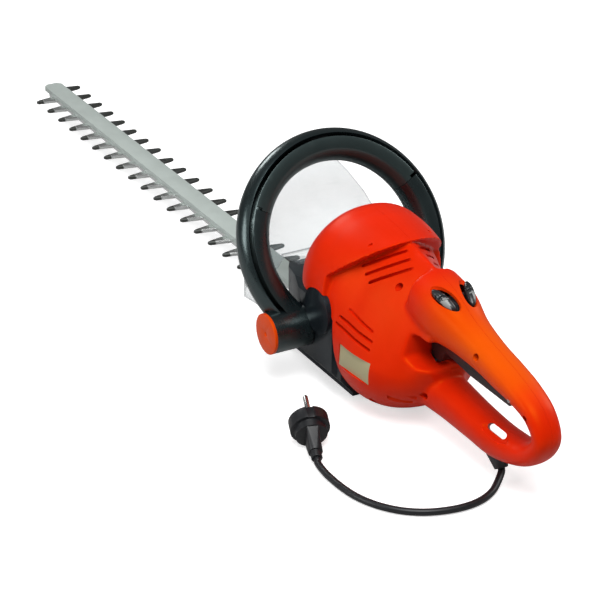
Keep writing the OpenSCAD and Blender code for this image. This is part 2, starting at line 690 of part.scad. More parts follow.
// ---- clear guard --------------------------------------------------------
guard_lean = 33.4;
guard_foot = [89, 126];
module guard_outline() {
    lower = [[38, -47], [60, -66], [84, -66], [84, -60], [77, -38]];
    upper = [[65, 0], [54, 22], [45, 36], [38, 45], [31, 50]];
    polygon(concat(lower, upper, [for (i = [4:-1:0]) [-upper[i][0], upper[i][1]]],
                   [for (i = [4:-1:0]) [-lower[i][0], lower[i][1]]]));
}
guard_screw_r = 2;
guard_head_z = 13.2;
module guard_screw_places() for (y = [-18, 18]) translate([42, y, case_top_z - 18]) children();
module guard() color(clear_plastic) difference() {
    union() {
        translate([guard_foot[0], 0, guard_foot[1]]) rotate([0, guard_lean, 0]) rotate([90, 0, 90])
            linear_extrude(guard_t) guard_outline();
        // flange that lies on the sloping top of the gear case
        translate([50, 0, case_top_z - 10]) rotate([0, case_front_slope, 0])
            translate([-15, -37, clear]) cube([36, 74, guard_t]);
        // wings from the plate back to the hubs
        both_sides() translate([52, 77, 55]) rotate([0, 0, 8]) block(-46, 13, 0, guard_t, 0, 24);
    }
    guard_screw_places() cylinder(r = guard_screw_r + 0.2, h = 30, $fn = 32);
    // clear of the loop's tube, which the wings reach round
    at_loop() arc_solid(loop_tube_r + clear, -1);
}
case_front_slope = atan2(10, 60);
module guard_screws() color(dark_grey) guard_screw_places() {
    cylinder(r = guard_screw_r, h = guard_head_z + 0.8, $fn = 32);
    translate([0, 0, guard_head_z]) cylinder(r = 2 * guard_screw_r, h = 2.4, $fn = 32);
}

// ---- gear case ----------------------------------------------------------
case_plan = [
    [-case_back, -case_half_w + 4], [-70, -case_half_w + 4], [-68, -case_half_w], [-5, -case_half_w],
    [40, 14 - case_half_w], [66, 30 - case_half_w], [case_front_x, 38 - case_half_w],
    [case_front_x, case_half_w - 38], [66, case_half_w - 30], [40, case_half_w - 14], [-5, case_half_w],
    [-68, case_half_w], [-70, case_half_w - 4], [-case_back, case_half_w - 4]
];
case_section = [
    [16 - case_half_w, base_z], [case_half_w - 16, base_z], [case_half_w, base_z + 19],
    [case_half_w, case_top_z - 8], [case_half_w - 8, case_top_z], [8 - case_half_w, case_top_z],
    [-case_half_w, case_top_z - 8], [-case_half_w, base_z + 19]
];
case_side = [
    [-case_back, base_z], [62, base_z], [case_front_x, base_z + 6], [case_front_x, 72],
    [50, case_top_z - 10], [-10, case_top_z], [-case_back, case_top_z]
];
module case_shape(g) intersection() {
    translate([0, 0, -over]) linear_extrude(case_top_z + 20) polygon(mitred(case_plan, g));
    rotate([90, 0, 90]) linear_extrude(2 * far, center = true) polygon(mitred(case_section, g));
    across(2 * far) polygon(mitred(case_side, g));
}
module gear_case() color(black) difference() {
    union() {
        difference() {
            union() {
                case_shape(0);
                both_sides() rod_y(boss_x, case_half_w - 5, case_half_w + 4, boss_z, boss_r, 64);
            }
            case_shape(-case_wall);
            // open underside, closed by the bottom cover
            block(-case_back + case_wall, 58, 19 + case_wall - case_half_w, case_half_w - 19 - case_wall,
                  base_z - over, base_z + case_wall + over);
        }
        both_sides() rod_y(-hub_back, case_half_w - 14, case_half_w - case_wall + tiny, hub_z,
                           case_bolt_boss_r);
        for (p = case_screw_at) translate([p[0], p[1], base_z]) cylinder(r = 4.5, h = 14, $fn = 32);
    }
    // slot for the blades and the bar
    block(case_front_x - 10, case_front_x + over, -nose_half_w - run, nose_half_w + run,
          front_slot_z - slot_half_h, front_slot_z + slot_half_h);
    // room for the motor
    translate([motor_x, 0, stator_z - 4]) cylinder(r = stator_r + 1, h = 60, $fn = 96);
    both_sides() rod_y(-hub_back, case_half_w - 15, case_half_w + over, hub_z, handle_bolt_r + run);
    for (p = case_screw_at) translate([p[0], p[1], base_z - over])
        cylinder(r = case_screw_r + run, h = 13, $fn = 32);
    guard_screw_places() translate([0, 0, -run]) cylinder(r = guard_screw_r + run, h = 30, $fn = 32);
    // seats of the loop handle's hubs, let into the knobs on the case's flanks
    hub_cylinder(hub_r + clear, case_half_w, hub_end_y);
}

module bearing_plate() color(bare_steel) difference() {
    union() {
        intersection() {
            case_shape(-case_wall - clear);
            block(-far, far, -far, far, plate_z, plate_z + plate_t);
        }
        translate([0, 0, plate_z]) cylinder(r = crank_bearing_boss_r, h = bearing_t, $fn = 64);
        translate([motor_x, 0, plate_z]) cylinder(r = motor_bearing_boss_r, h = bearing_t, $fn = 64);
        block(nose_x, nose_x + nose_len, -nose_half_w, nose_half_w, bar_top_z, plate_z + tiny);
        for (s = [-1, 1]) translate([motor_x, s * motor_screw_r, plate_z])
            cylinder(r = post_r, h = stator_z - plate_z, $fn = 32);
    }
    translate([0, 0, plate_z - over]) cylinder(r = crank_bearing_r, h = bearing_t + 2 * over, $fn = 64);
    translate([motor_x, 0, plate_z + 1]) cylinder(r = motor_bearing_r, h = bearing_t, $fn = 64);
    translate([motor_x, 0, plate_z - over]) cylinder(r = motor_bearing_r - 2, h = 3, $fn = 64);
    for (s = [-1, 1]) translate([motor_x, s * motor_screw_r, stator_z - 16])
        cylinder(r = motor_screw_shank_r, h = 20, $fn = 32);
    // clear of the bosses that take the loop handle's bolts
    both_sides() rod_y(-hub_back, case_half_w - 14 - clear, case_half_w, hub_z, case_bolt_boss_r + clear);
}
module bottom_cover() color(black) difference() {
    union() {
        block(-case_back, 60, 17 - case_half_w, case_half_w - 17, pad_h, base_z);
        block(-60, 72, -32, 32, 0, pad_h + tiny);
        block(60 - tiny, 72, -32, 32, pad_h, base_z - 1);
        translate([0, 0, base_z - tiny])
            cylinder(r = crank_bearing_boss_r, h = low_bearing_top_z - base_z + tiny, $fn = 64);
    }
    translate([0, 0, low_bearing_z]) cylinder(r = crank_bearing_r, h = bearing_t + over, $fn = 64);
    for (p = case_screw_at) translate([p[0], p[1], -over]) {
        cylinder(r = case_screw_r + 0.2, h = base_z + 2 * over, $fn = 32);
        cylinder(r = 4.3, h = over + 6, $fn = 32);
    }
}
module case_screws() color(dark_grey) for (p = case_screw_at) translate([p[0], p[1], 0]) {
    translate([0, 0, 6]) cylinder(r = case_screw_r, h = base_z + 4, $fn = 32);
    translate([0, 0, 3.2]) cylinder(r = 3.8, h = 2.8, $fn = 32);
}

// ---- bar, blades and their guides ---------------------------------------
module support_bar() color(steel) difference() {
    union() {
        block(nose_x, bar_end_x - 5, -bar_w / 2, bar_w / 2, bar_z, bar_top_z);
        translate([bar_end_x - 5 - tiny, 0, bar_z]) linear_extrude(bar_t)
            polygon([[0, -bar_w / 2], [5, 5 - bar_w / 2], [5, bar_w / 2 - 5], [0, bar_w / 2]]);
    }
    for (x = bolt_x) translate([x, 0, bar_z - over])
        cylinder(r = blade_bolt_r + run, h = bar_t - 1 + over, $fn = 32);
}
tooth_pts = [
    [-tooth_root_w / 2, spine_w / 2 - 3], [tooth_root_w / 2, spine_w / 2 - 3],
    [tooth_tip_w / 2, tooth_reach - tooth_tip_w / 3], [tooth_tip_w / 4, tooth_reach],
    [-tooth_tip_w / 4, tooth_reach], [-tooth_tip_w / 2, tooth_reach - tooth_tip_w / 3]
];
// One tooth, pointing left for a side of 1 and right for -1.
module tooth(side) polygon(side > 0 ? tooth_pts : [for (i = [5:-1:0]) [tooth_pts[i][0], -tooth_pts[i][1]]]);
module blade_outline() difference() {
    union() {
        translate([-yoke_half_x - yoke_rim, -yoke_half_y - yoke_rim + 0.5])
            square([2 * (yoke_half_x + yoke_rim), 2 * (yoke_half_y + yoke_rim - 0.5)]);
        translate([yoke_half_x, -spine_w / 2]) square([blade_front_x - yoke_half_x, spine_w]);
        for (k = [0:teeth_per_side - 1]) {
            translate([rear_tooth_x + k * tooth_pitch, 0]) tooth(1);
            translate([rear_tooth_x + tooth_stagger + k * tooth_pitch, 0]) tooth(-1);
        }
    }
    translate([-yoke_half_x, -yoke_half_y]) square([2 * yoke_half_x, 2 * yoke_half_y]);
    for (x = bolt_x) {
        translate([x - slot_half_len + slot_half_w, -slot_half_w])
            square([2 * (slot_half_len - slot_half_w), 2 * slot_half_w]);
        for (s = [-1, 1]) translate([x + s * (slot_half_len - slot_half_w), 0])
            circle(r = slot_half_w, $fn = 32);
    }
}
module upper_blade() color(bare_steel)
    translate([0, 0, upper_blade_z]) linear_extrude(blade_t) blade_outline();
module lower_blade() color(bare_steel)
    translate([0, 0, lower_blade_z]) linear_extrude(blade_t) blade_outline();
module blade_guides() color(brass) for (x = bolt_x) translate([x, 0, 0]) {
    translate([0, 0, lower_blade_z - 2 * run])
        ring(bush_r, blade_bolt_r + run, bar_z - lower_blade_z + 2 * run);
    translate([0, 0, lower_blade_z - 2 * run - washer_t]) ring(washer_r, blade_bolt_r + run, washer_t);
}
module blade_bolts() color(dark_grey) for (x = bolt_x) translate([x, 0, 0]) {
    translate([0, 0, lower_blade_z - 2 * run - washer_t])
        cylinder(r = blade_bolt_r, h = bar_top_z - 1.5 - lower_blade_z + 2 * run + washer_t, $fn = 32);
    translate([0, 0, lower_blade_z - 2 * run - washer_t - bolt_head_h])
        cylinder(r = bolt_head_r, h = bolt_head_h, $fn = 32);
}

// ---- gears --------------------------------------------------------------
// Half the angle that a tooth takes at radius r.
function half_angle(n, r) =
    let (pitch_r = gear_module * n / 2, base_r = pitch_r * cos(pressure_angle), a = acos(min(1, base_r / r)))
    90 / n - backlash / 4 / pitch_r * 180 / PI
    + (tan(pressure_angle) - tan(a)) * 180 / PI - pressure_angle + a;
function gear_points(n) =
    let (pitch_r = gear_module * n / 2, root = pitch_r - 1.25 * gear_module, tip = pitch_r + gear_module,
         radii = [for (i = [0:3]) root + (tip - root) * i / 3])
    [for (k = [0:n - 1]) each concat(
        [for (r = radii) let (a = 360 * k / n - half_angle(n, r)) r * [cos(a), sin(a)]],
        [for (i = [3:-1:0]) let (r = radii[i], a = 360 * k / n + half_angle(n, r)) r * [cos(a), sin(a)]])];

module drive_gear() color(steel) {
    difference() {
        translate([0, 0, gear_z]) rotate([0, 0, gear_teeth % 2 == 0 ? 0 : 180 / gear_teeth])
            linear_extrude(gear_t) polygon(gear_points(gear_teeth));
        for (a = [45:90:315]) rotate([0, 0, a]) translate([22, 0, gear_z - over])
            cylinder(r = 7, h = gear_t + 2 * over, $fn = 32);
    }
    translate([0, 0, bar_z - run]) cylinder(r = 9, h = gear_z - bar_z + run + tiny, $fn = 48);
    translate([0, blade_throw, blade_plane_z])
        cylinder(r = eccentric_r, h = bar_z - run - blade_plane_z + tiny, $fn = 64);
    translate([0, -blade_throw, lower_blade_z - run])
        cylinder(r = eccentric_r, h = blade_plane_z - lower_blade_z + run + tiny, $fn = 64);
    translate([0, 0, low_bearing_top_z + 4 * run])
        cylinder(r = crank_collar_r, h = lower_blade_z - low_bearing_top_z - 4 * run, $fn = 48);
    translate([0, 0, low_bearing_z + run])
        cylinder(r = crank_shaft_r, h = plate_z + bearing_t - low_bearing_z - run, $fn = 48);
    translate([0, 0, gear_top_z - tiny])
        cylinder(r = crank_collar_r, h = plate_z - gear_top_z - 0.2, $fn = 48);
}
module gear_bearings() color(bare_steel) {
    translate([0, 0, plate_z]) ring(crank_bearing_r - 0.01, crank_shaft_r + 0.03, bearing_t);
    translate([0, 0, low_bearing_z]) ring(crank_bearing_r - 0.01, crank_shaft_r + 0.03, bearing_t);
}

// ---- motor --------------------------------------------------------------
module at_motor() translate([motor_x, 0, 0]) children();
module armature_shaft() color(steel) at_motor() {
    translate([0, 0, gear_z - 1]) cylinder(r = motor_shaft_r, h = shaft_top_z - gear_z + 1, $fn = 48);
    translate([0, 0, gear_z]) rotate([0, 0, 180 / pinion_teeth])
        linear_extrude(gear_t + 1) polygon(gear_points(pinion_teeth));
}
module armature_core() color(dark_grey) at_motor() difference() {
    translate([0, 0, stator_z]) cylinder(r = core_r, h = stator_h, $fn = 64);
    translate([0, 0, stator_z - over]) cylinder(r = motor_shaft_r, h = stator_h + 2 * over, $fn = 48);
    for (a = [0:30:330]) rotate([0, 0, a]) translate([core_r - 5, -0.9, stator_z - over])
        cube([6, 1.8, stator_h + 2 * over]);
}
module armature_windings() color(copper) at_motor() {
    translate([0, 0, stator_z - 6]) ring(core_r - 2, motor_shaft_r + 0.5, 6);
    translate([0, 0, stator_top_z]) ring(core_r - 2, motor_shaft_r + 0.5, 5.7);
}
module commutator() color(copper) at_motor() difference() {
    translate([0, 0, commutator_z]) cylinder(r = commutator_r, h = commutator_h, $fn = 64);
    translate([0, 0, commutator_z - over]) cylinder(r = motor_shaft_r, h = commutator_h + 2 * over, $fn = 48);
    for (a = [0:30:330]) rotate([0, 0, a]) translate([commutator_r - 1, -0.3, commutator_z - over])
        cube([2, 0.6, commutator_h + 2 * over]);
}
module fan() color(black) at_motor() {
    translate([0, 0, fan_z]) ring(8, motor_shaft_r, fan_t);
    translate([0, 0, fan_z]) ring(fan_r, 8 - tiny, 1.6);
    for (a = [0:30:330]) rotate([0, 0, a]) translate([10, -0.7, fan_z + 1.6 - tiny])
        cube([fan_r - 10.5, 1.4, fan_t - 1.6]);
}
module motor_bearings() color(bare_steel) at_motor() {
    translate([0, 0, plate_z + 1]) ring(motor_bearing_r - 0.01, motor_shaft_r + 0.03, motor_bearing_t);
    translate([0, 0, bracket_z + 2.5]) ring(motor_bearing_r - 0.01, motor_shaft_r + 0.03, motor_bearing_t);
}
module stator() color("#7d8486") at_motor() difference() {
    translate([0, 0, stator_z]) cylinder(r = stator_r, h = stator_h, $fn = 96);
    translate([0, 0, stator_z - over]) cylinder(r = core_r + air_gap, h = stator_h + 2 * over, $fn = 64);
    for (s = [-1, 1]) {
        translate([0, s * motor_screw_r, stator_z - over])
            cylinder(r = motor_screw_shank_r + 0.2, h = stator_h + 2 * over, $fn = 32);
        for (t = [-1, 1]) translate([s * 22 - 3.2, t * 12 - 4.2, stator_z - over])
            cube([6.4, 8.4, stator_h + 2 * over]);
    }
}
module field_coils() color(copper) at_motor() for (s = [-1, 1]) {
    for (t = [-1, 1]) translate([s * 22 - 3, t * 12 - 4, stator_z - 6]) cube([6, 8, stator_h + 11.5]);
    for (z = [stator_z - 6, stator_top_z + tiny]) translate([s * 22 - 3, -12, z]) cube([6, 24, 5.4]);
}
module motor_bracket() color(dark_grey) at_motor() difference() {
    union() {
        translate([0, 0, bracket_z]) cylinder(r = stator_r, h = bracket_t, $fn = 96);
        translate([0, 0, bracket_z])
            cylinder(r = motor_bearing_boss_r, h = shaft_top_z - bracket_z + 1, $fn = 64);
        for (s = [-1, 1]) translate([0, s * motor_screw_r, stator_top_z])
            cylinder(r = 3.4, h = bracket_z - stator_top_z + tiny, $fn = 32);
    }
    translate([0, 0, bracket_z - over]) cylinder(r = motor_bearing_r - 2, h = 20, $fn = 64);
    translate([0, 0, bracket_z + 2.5]) cylinder(r = motor_bearing_r, h = motor_bearing_t, $fn = 64);
    for (s = [-1, 1]) translate([0, s * motor_screw_r, stator_top_z - over])
        cylinder(r = motor_screw_shank_r + 0.2, h = 40, $fn = 32);
}
module motor_screws() color(bare_steel) at_motor() for (s = [-1, 1]) translate([0, s * motor_screw_r, 0]) {
    translate([0, 0, stator_z - 14])
        cylinder(r = motor_screw_shank_r, h = bracket_z + bracket_t - stator_z + 14, $fn = 32);
    translate([0, 0, bracket_z + bracket_t]) cylinder(r = 3, h = 2.2, $fn = 32);
}
brush_z = commutator_z + 3;
brush_h = 8;
brush_w = 5;
module brush_holders() color(brass) at_motor() for (s = [0, 180]) rotate([0, 0, s]) difference() {
    block(14, 33, -brush_w / 2 - 1.5, brush_w / 2 + 1.5, brush_z - 1.5, bracket_z);
    block(13, 31.5, -brush_w / 2 - run, brush_w / 2 + run, brush_z - run, brush_z + brush_h + run);
}
module brushes() color("#2b2b2d") at_motor() for (s = [0, 180]) rotate([0, 0, s])
    block(commutator_r + 0.1, 23, -brush_w / 2, brush_w / 2, brush_z, brush_z + brush_h);
module brush_springs() color(bare_steel) at_motor() for (s = [0, 180]) rotate([0, 0, s])
    translate([23 + tiny, 0, brush_z + brush_h / 2]) rotate([0, 90, 0]) ring(2.3, 1.6, 8.4);

housing_left();
housing_right();
housing_screws();
label_plate();
lock_button_left();
lock_button_right();
trigger();
trigger_pin();
switch_cradle();
rear_switch();
capacitor();
cord_clamp();
strain_relief();
cord();
plug_body();
plug_pins();
loop_handle_front();
loop_handle_rear();
front_switch_bar();
front_switch();
end_cap_left();
end_cap_right();
handle_bolts();
guard();
guard_screws();
gear_case();
bearing_plate();
bottom_cover();
case_screws();
support_bar();
upper_blade();
lower_blade();
blade_bolts();
blade_guides();
drive_gear();
gear_bearings();
armature_shaft();
armature_core();
armature_windings();
commutator();
fan();
motor_bearings();
stator();
field_coils();
motor_bracket();
motor_screws();
brush_holders();
brushes();
brush_springs();
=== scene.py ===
"""The looks of a corded hedge trimmer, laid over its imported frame.

Sizes are in millimetres until a mesh is made of them.
"""
import math

import bmesh
import bpy
import numpy as np
from mathutils import Matrix, Vector

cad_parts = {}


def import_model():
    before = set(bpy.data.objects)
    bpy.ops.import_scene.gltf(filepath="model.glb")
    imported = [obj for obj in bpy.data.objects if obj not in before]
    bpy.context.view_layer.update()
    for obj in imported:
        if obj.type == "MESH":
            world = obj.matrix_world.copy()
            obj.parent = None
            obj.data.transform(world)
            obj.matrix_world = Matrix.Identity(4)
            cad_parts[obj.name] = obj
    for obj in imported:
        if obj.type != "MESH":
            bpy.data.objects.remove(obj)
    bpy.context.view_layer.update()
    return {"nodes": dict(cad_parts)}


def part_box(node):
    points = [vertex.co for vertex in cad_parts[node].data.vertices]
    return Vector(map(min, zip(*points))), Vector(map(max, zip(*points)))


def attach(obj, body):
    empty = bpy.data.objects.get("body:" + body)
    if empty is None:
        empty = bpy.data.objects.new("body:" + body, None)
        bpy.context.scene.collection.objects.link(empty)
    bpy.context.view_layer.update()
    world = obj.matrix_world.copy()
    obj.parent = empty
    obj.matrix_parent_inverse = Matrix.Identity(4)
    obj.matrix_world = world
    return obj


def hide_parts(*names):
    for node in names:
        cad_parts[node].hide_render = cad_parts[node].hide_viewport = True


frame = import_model()
MM = 0.001
scene = bpy.context.scene


# ---- camera ---------------------------------------------------------------
CAMERA_AT = (-1.5545, 0.9091, 0.9500)
AZIMUTH, ELEVATION = math.radians(241.23), math.radians(26.31)
LENS, SENSOR = 127.07, 36


def place_camera():
    level = math.cos(ELEVATION)
    back = Vector((math.sin(AZIMUTH) * level, -math.cos(AZIMUTH) * level, math.sin(ELEVATION)))
    camera = bpy.data.objects.new("camera", bpy.data.cameras.new("camera"))
    camera.data.lens = LENS
    camera.data.sensor_width = SENSOR
    camera.data.clip_end = 50
    camera.location = CAMERA_AT
    camera.rotation_euler = back.to_track_quat("Z", "Y").to_euler()
    scene.collection.objects.link(camera)
    scene.camera = camera


place_camera()


# ---- materials ------------------------------------------------------------
class Value:
    """A number in a material's graph; arithmetic on it adds Math nodes."""

    def __init__(self, graph, socket):
        self.graph = graph
        self.socket = socket

    def math(self, operation, other, flipped=False):
        pair = (other, self) if flipped else (self, other)
        inputs = dict(enumerate(pair))
        node = self.graph.add("ShaderNodeMath", {"operation": operation}, inputs)
        return Value(self.graph, node.outputs[0])

    def __add__(self, other):
        return self.math("ADD", other)

    __radd__ = __add__

    def __sub__(self, other):
        return self.math("SUBTRACT", other)

    def __rsub__(self, other):
        return self.math("SUBTRACT", other, flipped=True)

    def __mul__(self, other):
        return self.math("MULTIPLY", other)

    __rmul__ = __mul__

    def within(self, low, high):
        """0 at low, 1 at high, clamped between."""
        inputs = {"Value": self, "From Min": low, "From Max": high}
        node = self.graph.add("ShaderNodeMapRange", {"clamp": True}, inputs)
        return Value(self.graph, node.outputs[0])


class Finish:
    """One material. add() is the only way a node gets into its graph."""

    def __init__(self, name, **constants):
        self.material = bpy.data.materials.new(name)
        self.material.use_nodes = True
        self.tree = self.material.node_tree
        self.tree.nodes.clear()
        self.shader = self.add("ShaderNodeBsdfPrincipled", {}, {})
        self.set(**constants)
        self.out = self.add("ShaderNodeOutputMaterial", {}, {"Surface": self.shader.outputs[0]})
        self.place = self.add("ShaderNodeTexCoord", {}, {}).outputs["Object"]

    def add(self, kind, settings, inputs):
        node = self.tree.nodes.new(kind)
        for key, setting in settings.items():
            setattr(node, key, setting)
        for key, given in inputs.items():
            self.feed(node.inputs[key], given)
        return node

    def feed(self, socket, given):
        if isinstance(given, Value):
            given = given.socket
        if isinstance(given, bpy.types.NodeSocket):
            self.tree.links.new(given, socket)
        elif socket.type == "RGBA" and len(given) == 3:
            socket.default_value = (*given, 1)
        else:
            socket.default_value = given

    def noise(self, per_metre, detail=3.0, stretch=(1, 1, 1)):
        """Noise with that many lumps in a metre, drawn out along an axis by a stretch below 1."""
        mapped = self.add("ShaderNodeMapping", {}, {"Vector": self.place, "Scale": stretch})
        inputs = {"Vector": mapped.outputs[0], "Scale": per_metre, "Detail": detail, "Roughness": 0.55}
        return Value(self, self.add("ShaderNodeTexNoise", {}, inputs).outputs[0])

    def along(self, axis):
        """The place on the object along an axis, in metres."""
        node = self.add("ShaderNodeSeparateXYZ", {}, {"Vector": self.place})
        return Value(self, node.outputs[axis])

    def blend(self, amount, first, second):
        """A colour that goes from first to second."""
        node = self.add("ShaderNodeMix", {"data_type": "RGBA"}, {})
        self.feed(node.inputs[0], amount)
        self.feed(node.inputs[6], first)
        self.feed(node.inputs[7], second)
        return node.outputs[2]

    def worn_edges(self):
        """About 1 on sharp outer edges and 0 elsewhere."""
        node = self.add("ShaderNodeNewGeometry", {}, {})
        return Value(self, node.outputs["Pointiness"]).within(0.52, 0.6)

    def rise(self, height, depth):
        """A normal from a height, whose full swing is depth metres."""
        inputs = {"Height": height, "Distance": depth, "Strength": 1.0}
        return self.add("ShaderNodeBump", {}, inputs).outputs[0]

    def set(self, **links):
        for key, given in links.items():
            self.feed(self.shader.inputs[key.replace("_", " ")], given)
        return self


def tone(colour, factor, lift=0.0):
    """A colour made darker or lighter by a factor, and a little lifted."""
    return tuple(min(1, c * factor + lift) for c in colour)


def moulded(name, colour, low, high, grain=0.00002, gloss=0.5, coat=0.0, sheen=(1, 1, 1), grip_highlight=None):
    """Injection-moulded plastic: a fine spark-eroded grain, faint clouding, and paler rubbed edges.

    low and high bound its roughness. The last argument is the colour of a painted highlight on the top of
    the grip, where light falls on it.
    """
    finish = Finish(name, Specular_IOR_Level=gloss, IOR=1.48, Specular_Tint=sheen,
                    Coat_Weight=coat, Coat_Roughness=0.12)
    cloud = finish.noise(24, 4)
    grit = finish.noise(2600, 2)
    scuffs = finish.noise(160, 5, (1, 1, 0.2)).within(0.55, 0.75)
    body = finish.blend(cloud, tone(colour, 0.86), tone(colour, 1.08, 0.002))
    # Painted highlight: the top of the grip is blended to a lighter orange, as if lit from above.
    if grip_highlight:
        back = 0 - finish.along(0)
        grip = back.within(0.15, 0.23) * (1 - back.within(0.285, 0.32))
        body = finish.blend(grip * finish.along(2).within(0.08, 0.115), body, grip_highlight)
    finish.set(Base_Color=finish.blend(finish.worn_edges() * 0.5, body, tone(colour, 1.3, 0.004)),
               Roughness=low + cloud * (high - low) + scuffs * 0.06,
               Normal=finish.rise(grit, grain))
    return finish


def ground_metal(name, colour, low, high, stretch, scratch=0.000012, metallic=1.0):
    """Metal with fine parallel grinding marks and faint stains."""
    finish = Finish(name, Metallic=metallic)
    marks = finish.noise(900, 3, stretch)
    stain_and_shade_noise = finish.noise(40, 5)
    finish.set(Base_Color=finish.blend(stain_and_shade_noise, tone(colour, 0.8), tone(colour, 1.1)),
               Roughness=low + marks * (high - low),
               Normal=finish.rise(marks, scratch))
    return finish


SHELL = (0.74, 0.017, 0.0004)
SHELL_SHEEN = (1.0, 0.36, 0.01)
COOL_SHEEN = (0.75, 1.0, 1.0)
# The last colour is a painted highlight on the top of the grip.
shell_finish = moulded("housing_plastic", SHELL, 0.32, 0.48, 0.000015, 0.36, sheen=SHELL_SHEEN,
                       grip_highlight=(0.78, 0.085, 0.001))
cap_finish = moulded("cap_plastic", (0.74, 0.06, 0.002), 0.32, 0.46, 0.000015, 0.5, sheen=SHELL_SHEEN)
case_finish = moulded("case_plastic", (0.003, 0.005, 0.008), 0.34, 0.5, 0.00002, 0.3, 0.3, (0.7, 0.9, 1.0))
loop_finish = moulded("loop_plastic", (0.003, 0.006, 0.007), 0.22, 0.34, 0.000008, 0.9, 0.25, COOL_SHEEN)
lever_finish = moulded("lever_plastic", (0.010, 0.016, 0.016), 0.26, 0.38, 0.00001, 0.9, 0.15, COOL_SHEEN)
grip_finish = moulded("trigger_plastic", (0.005, 0.006, 0.007), 0.32, 0.45, 0.00002, 0.5)
button_finish = moulded("button_plastic", (0.012, 0.014, 0.016), 0.25, 0.4, 0.00001, 0.7)
# Pale grey that stands for a painted highlight on the lock pads.
highlight_patch_finish = moulded("highlight_patch_plastic", (0.30, 0.31, 0.30), 0.35, 0.5, 0.00001, 0.6)
inner_finish = moulded("inner_plastic", (0.06, 0.065, 0.07), 0.4, 0.6)
rubber_finish = moulded("cord_rubber", (0.006, 0.007, 0.009), 0.36, 0.5, 0.00003, 0.5)
label_finish = moulded("label_card", (0.42, 0.38, 0.22), 0.4, 0.55, 0.000008)
steel_finish = ground_metal("ground_steel", (0.62, 0.65, 0.64), 0.18, 0.38, (1, 0.06, 1))
screw_finish = ground_metal("dark_screws", (0.16, 0.16, 0.165), 0.3, 0.5, (1, 1, 1))
bar_finish = ground_metal("drawn_bar", (0.50, 0.56, 0.53), 0.42, 0.6, (0.02, 1, 1), 0.00001, 0.15)
iron_finish = ground_metal("laminated_iron", (0.34, 0.36, 0.37), 0.4, 0.6, (1, 1, 0.05))
casting_finish = ground_metal("cast_metal", (0.5, 0.51, 0.52), 0.45, 0.7, (1, 1, 1), 0.00004)
copper_finish = ground_metal("enamelled_copper", (0.72, 0.30, 0.12), 0.25, 0.4, (1, 1, 0.08))
brass_finish = ground_metal("turned_brass", (0.76, 0.56, 0.22), 0.25, 0.4, (1, 1, 1))


def clear_plastic(name, colour, cover):
    """Clear sheet: a faint grey tint by cover, fine scratches, and a gloss on top."""
    finish = Finish(name, IOR=1.49, Specular_IOR_Level=0.5)
    haze = finish.noise(60, 4)
    scuffs = finish.noise(400, 4, (1, 0.1, 1)).within(0.62, 0.7)
    return finish.set(Base_Color=finish.blend(haze, tone(colour, 0.95), colour),
                      Alpha=cover + haze * 0.04 + scuffs * 0.03,
                      Roughness=0.06 + haze * 0.05)


def blade_steel():
    """Bright ground steel; the right teeth take a painted dark reflection and all the tips a painted shade.
    """
    finish = Finish("blade_steel", Metallic=1.0)
    marks = finish.noise(900, 3, (1, 0.05, 1))
    across = finish.along(1)
    # Painted shade on the tips and a painted dark reflection on the right teeth; noise wobbles their
    # borders.
    stain_and_shade_noise = finish.noise(120, 4) * 0.004
    shaded_tips = (across + stain_and_shade_noise).within(0.0265, 0.0285)
    right = (0 - across + stain_and_shade_noise).within(0.009, 0.011)
    shade_and_reflection = (shaded_tips + right).within(0, 1)
    finish.set(Base_Color=finish.blend(shade_and_reflection, (0.86, 0.88, 0.87), (0.10, 0.105, 0.10)),
               Roughness=0.16 + marks * 0.16 + shade_and_reflection * 0.25,
               Normal=finish.rise(marks, 0.00001))
    return finish


guard_finish = clear_plastic("guard_plastic", (0.38, 0.46, 0.48), 0.25)
guard_rim_finish = clear_plastic("guard_rim", (0.16, 0.18, 0.19), 0.42)
blade_finish = blade_steel()


# ---- meshes ---------------------------------------------------------------
def new_object(name, mesh):
    made = bpy.data.objects.new(name, mesh)
    scene.collection.objects.link(made)
    return made


def from_points(name, points, faces):
    """A closed mesh from points in millimetres, with its faces turned outwards."""
    mesh = bpy.data.meshes.new(name)
    mesh.from_pydata((np.array(points, float) * MM).tolist(), [], faces)
    work = bmesh.new()
    work.from_mesh(mesh)
    bmesh.ops.remove_doubles(work, verts=work.verts, dist=1e-7)
    bmesh.ops.recalc_face_normals(work, faces=work.faces)
    work.to_mesh(mesh)
    work.free()
    return new_object(name, mesh)


def settle(thing):
    """Makes the modifiers part of the mesh."""
    held = thing.evaluated_get(bpy.context.evaluated_depsgraph_get())
    mesh = bpy.data.meshes.new_from_object(held)
    old = thing.data
    thing.modifiers.clear()
    thing.data = mesh
    bpy.data.meshes.remove(old)
    return thing


def modify(thing, kind, **settings):
    modifier = thing.modifiers.new(kind.lower(), kind)
    for key, setting in settings.items():
        setattr(modifier, key, setting)
    return settle(thing)


def combine(thing, tools, how="DIFFERENCE"):
    """Cuts a thing with tools, or joins or crosses it with them, and drops the tools."""
    for tool in tools:
        modifier = thing.modifiers.new("cut", "BOOLEAN")
        modifier.operation = how
        modifier.object = tool
        modifier.solver = "MANIFOLD"
        settle(thing)
        mesh = tool.data
        bpy.data.objects.remove(tool)
        bpy.data.meshes.remove(mesh)
    return thing


def loft(name, rings, closed=False):
    """A skin over rings of points, with flat ends, or with the last ring joined to the first."""
    rings = np.array(rings, float)
    count, sides = rings.shape[:2]
    faces = []
    for i in range(count if closed else count - 1):
        here, there = i * sides, (i + 1) % count * sides
        for j in range(sides):
            k = (j + 1) % sides
            faces.append((here + j, here + k, there + k, there + j))
    if not closed:
        faces.append(tuple(range(sides)))
        faces.append(tuple((count - 1) * sides + j for j in range(sides)))
    return from_points(name, rings.reshape(-1, 3), faces)


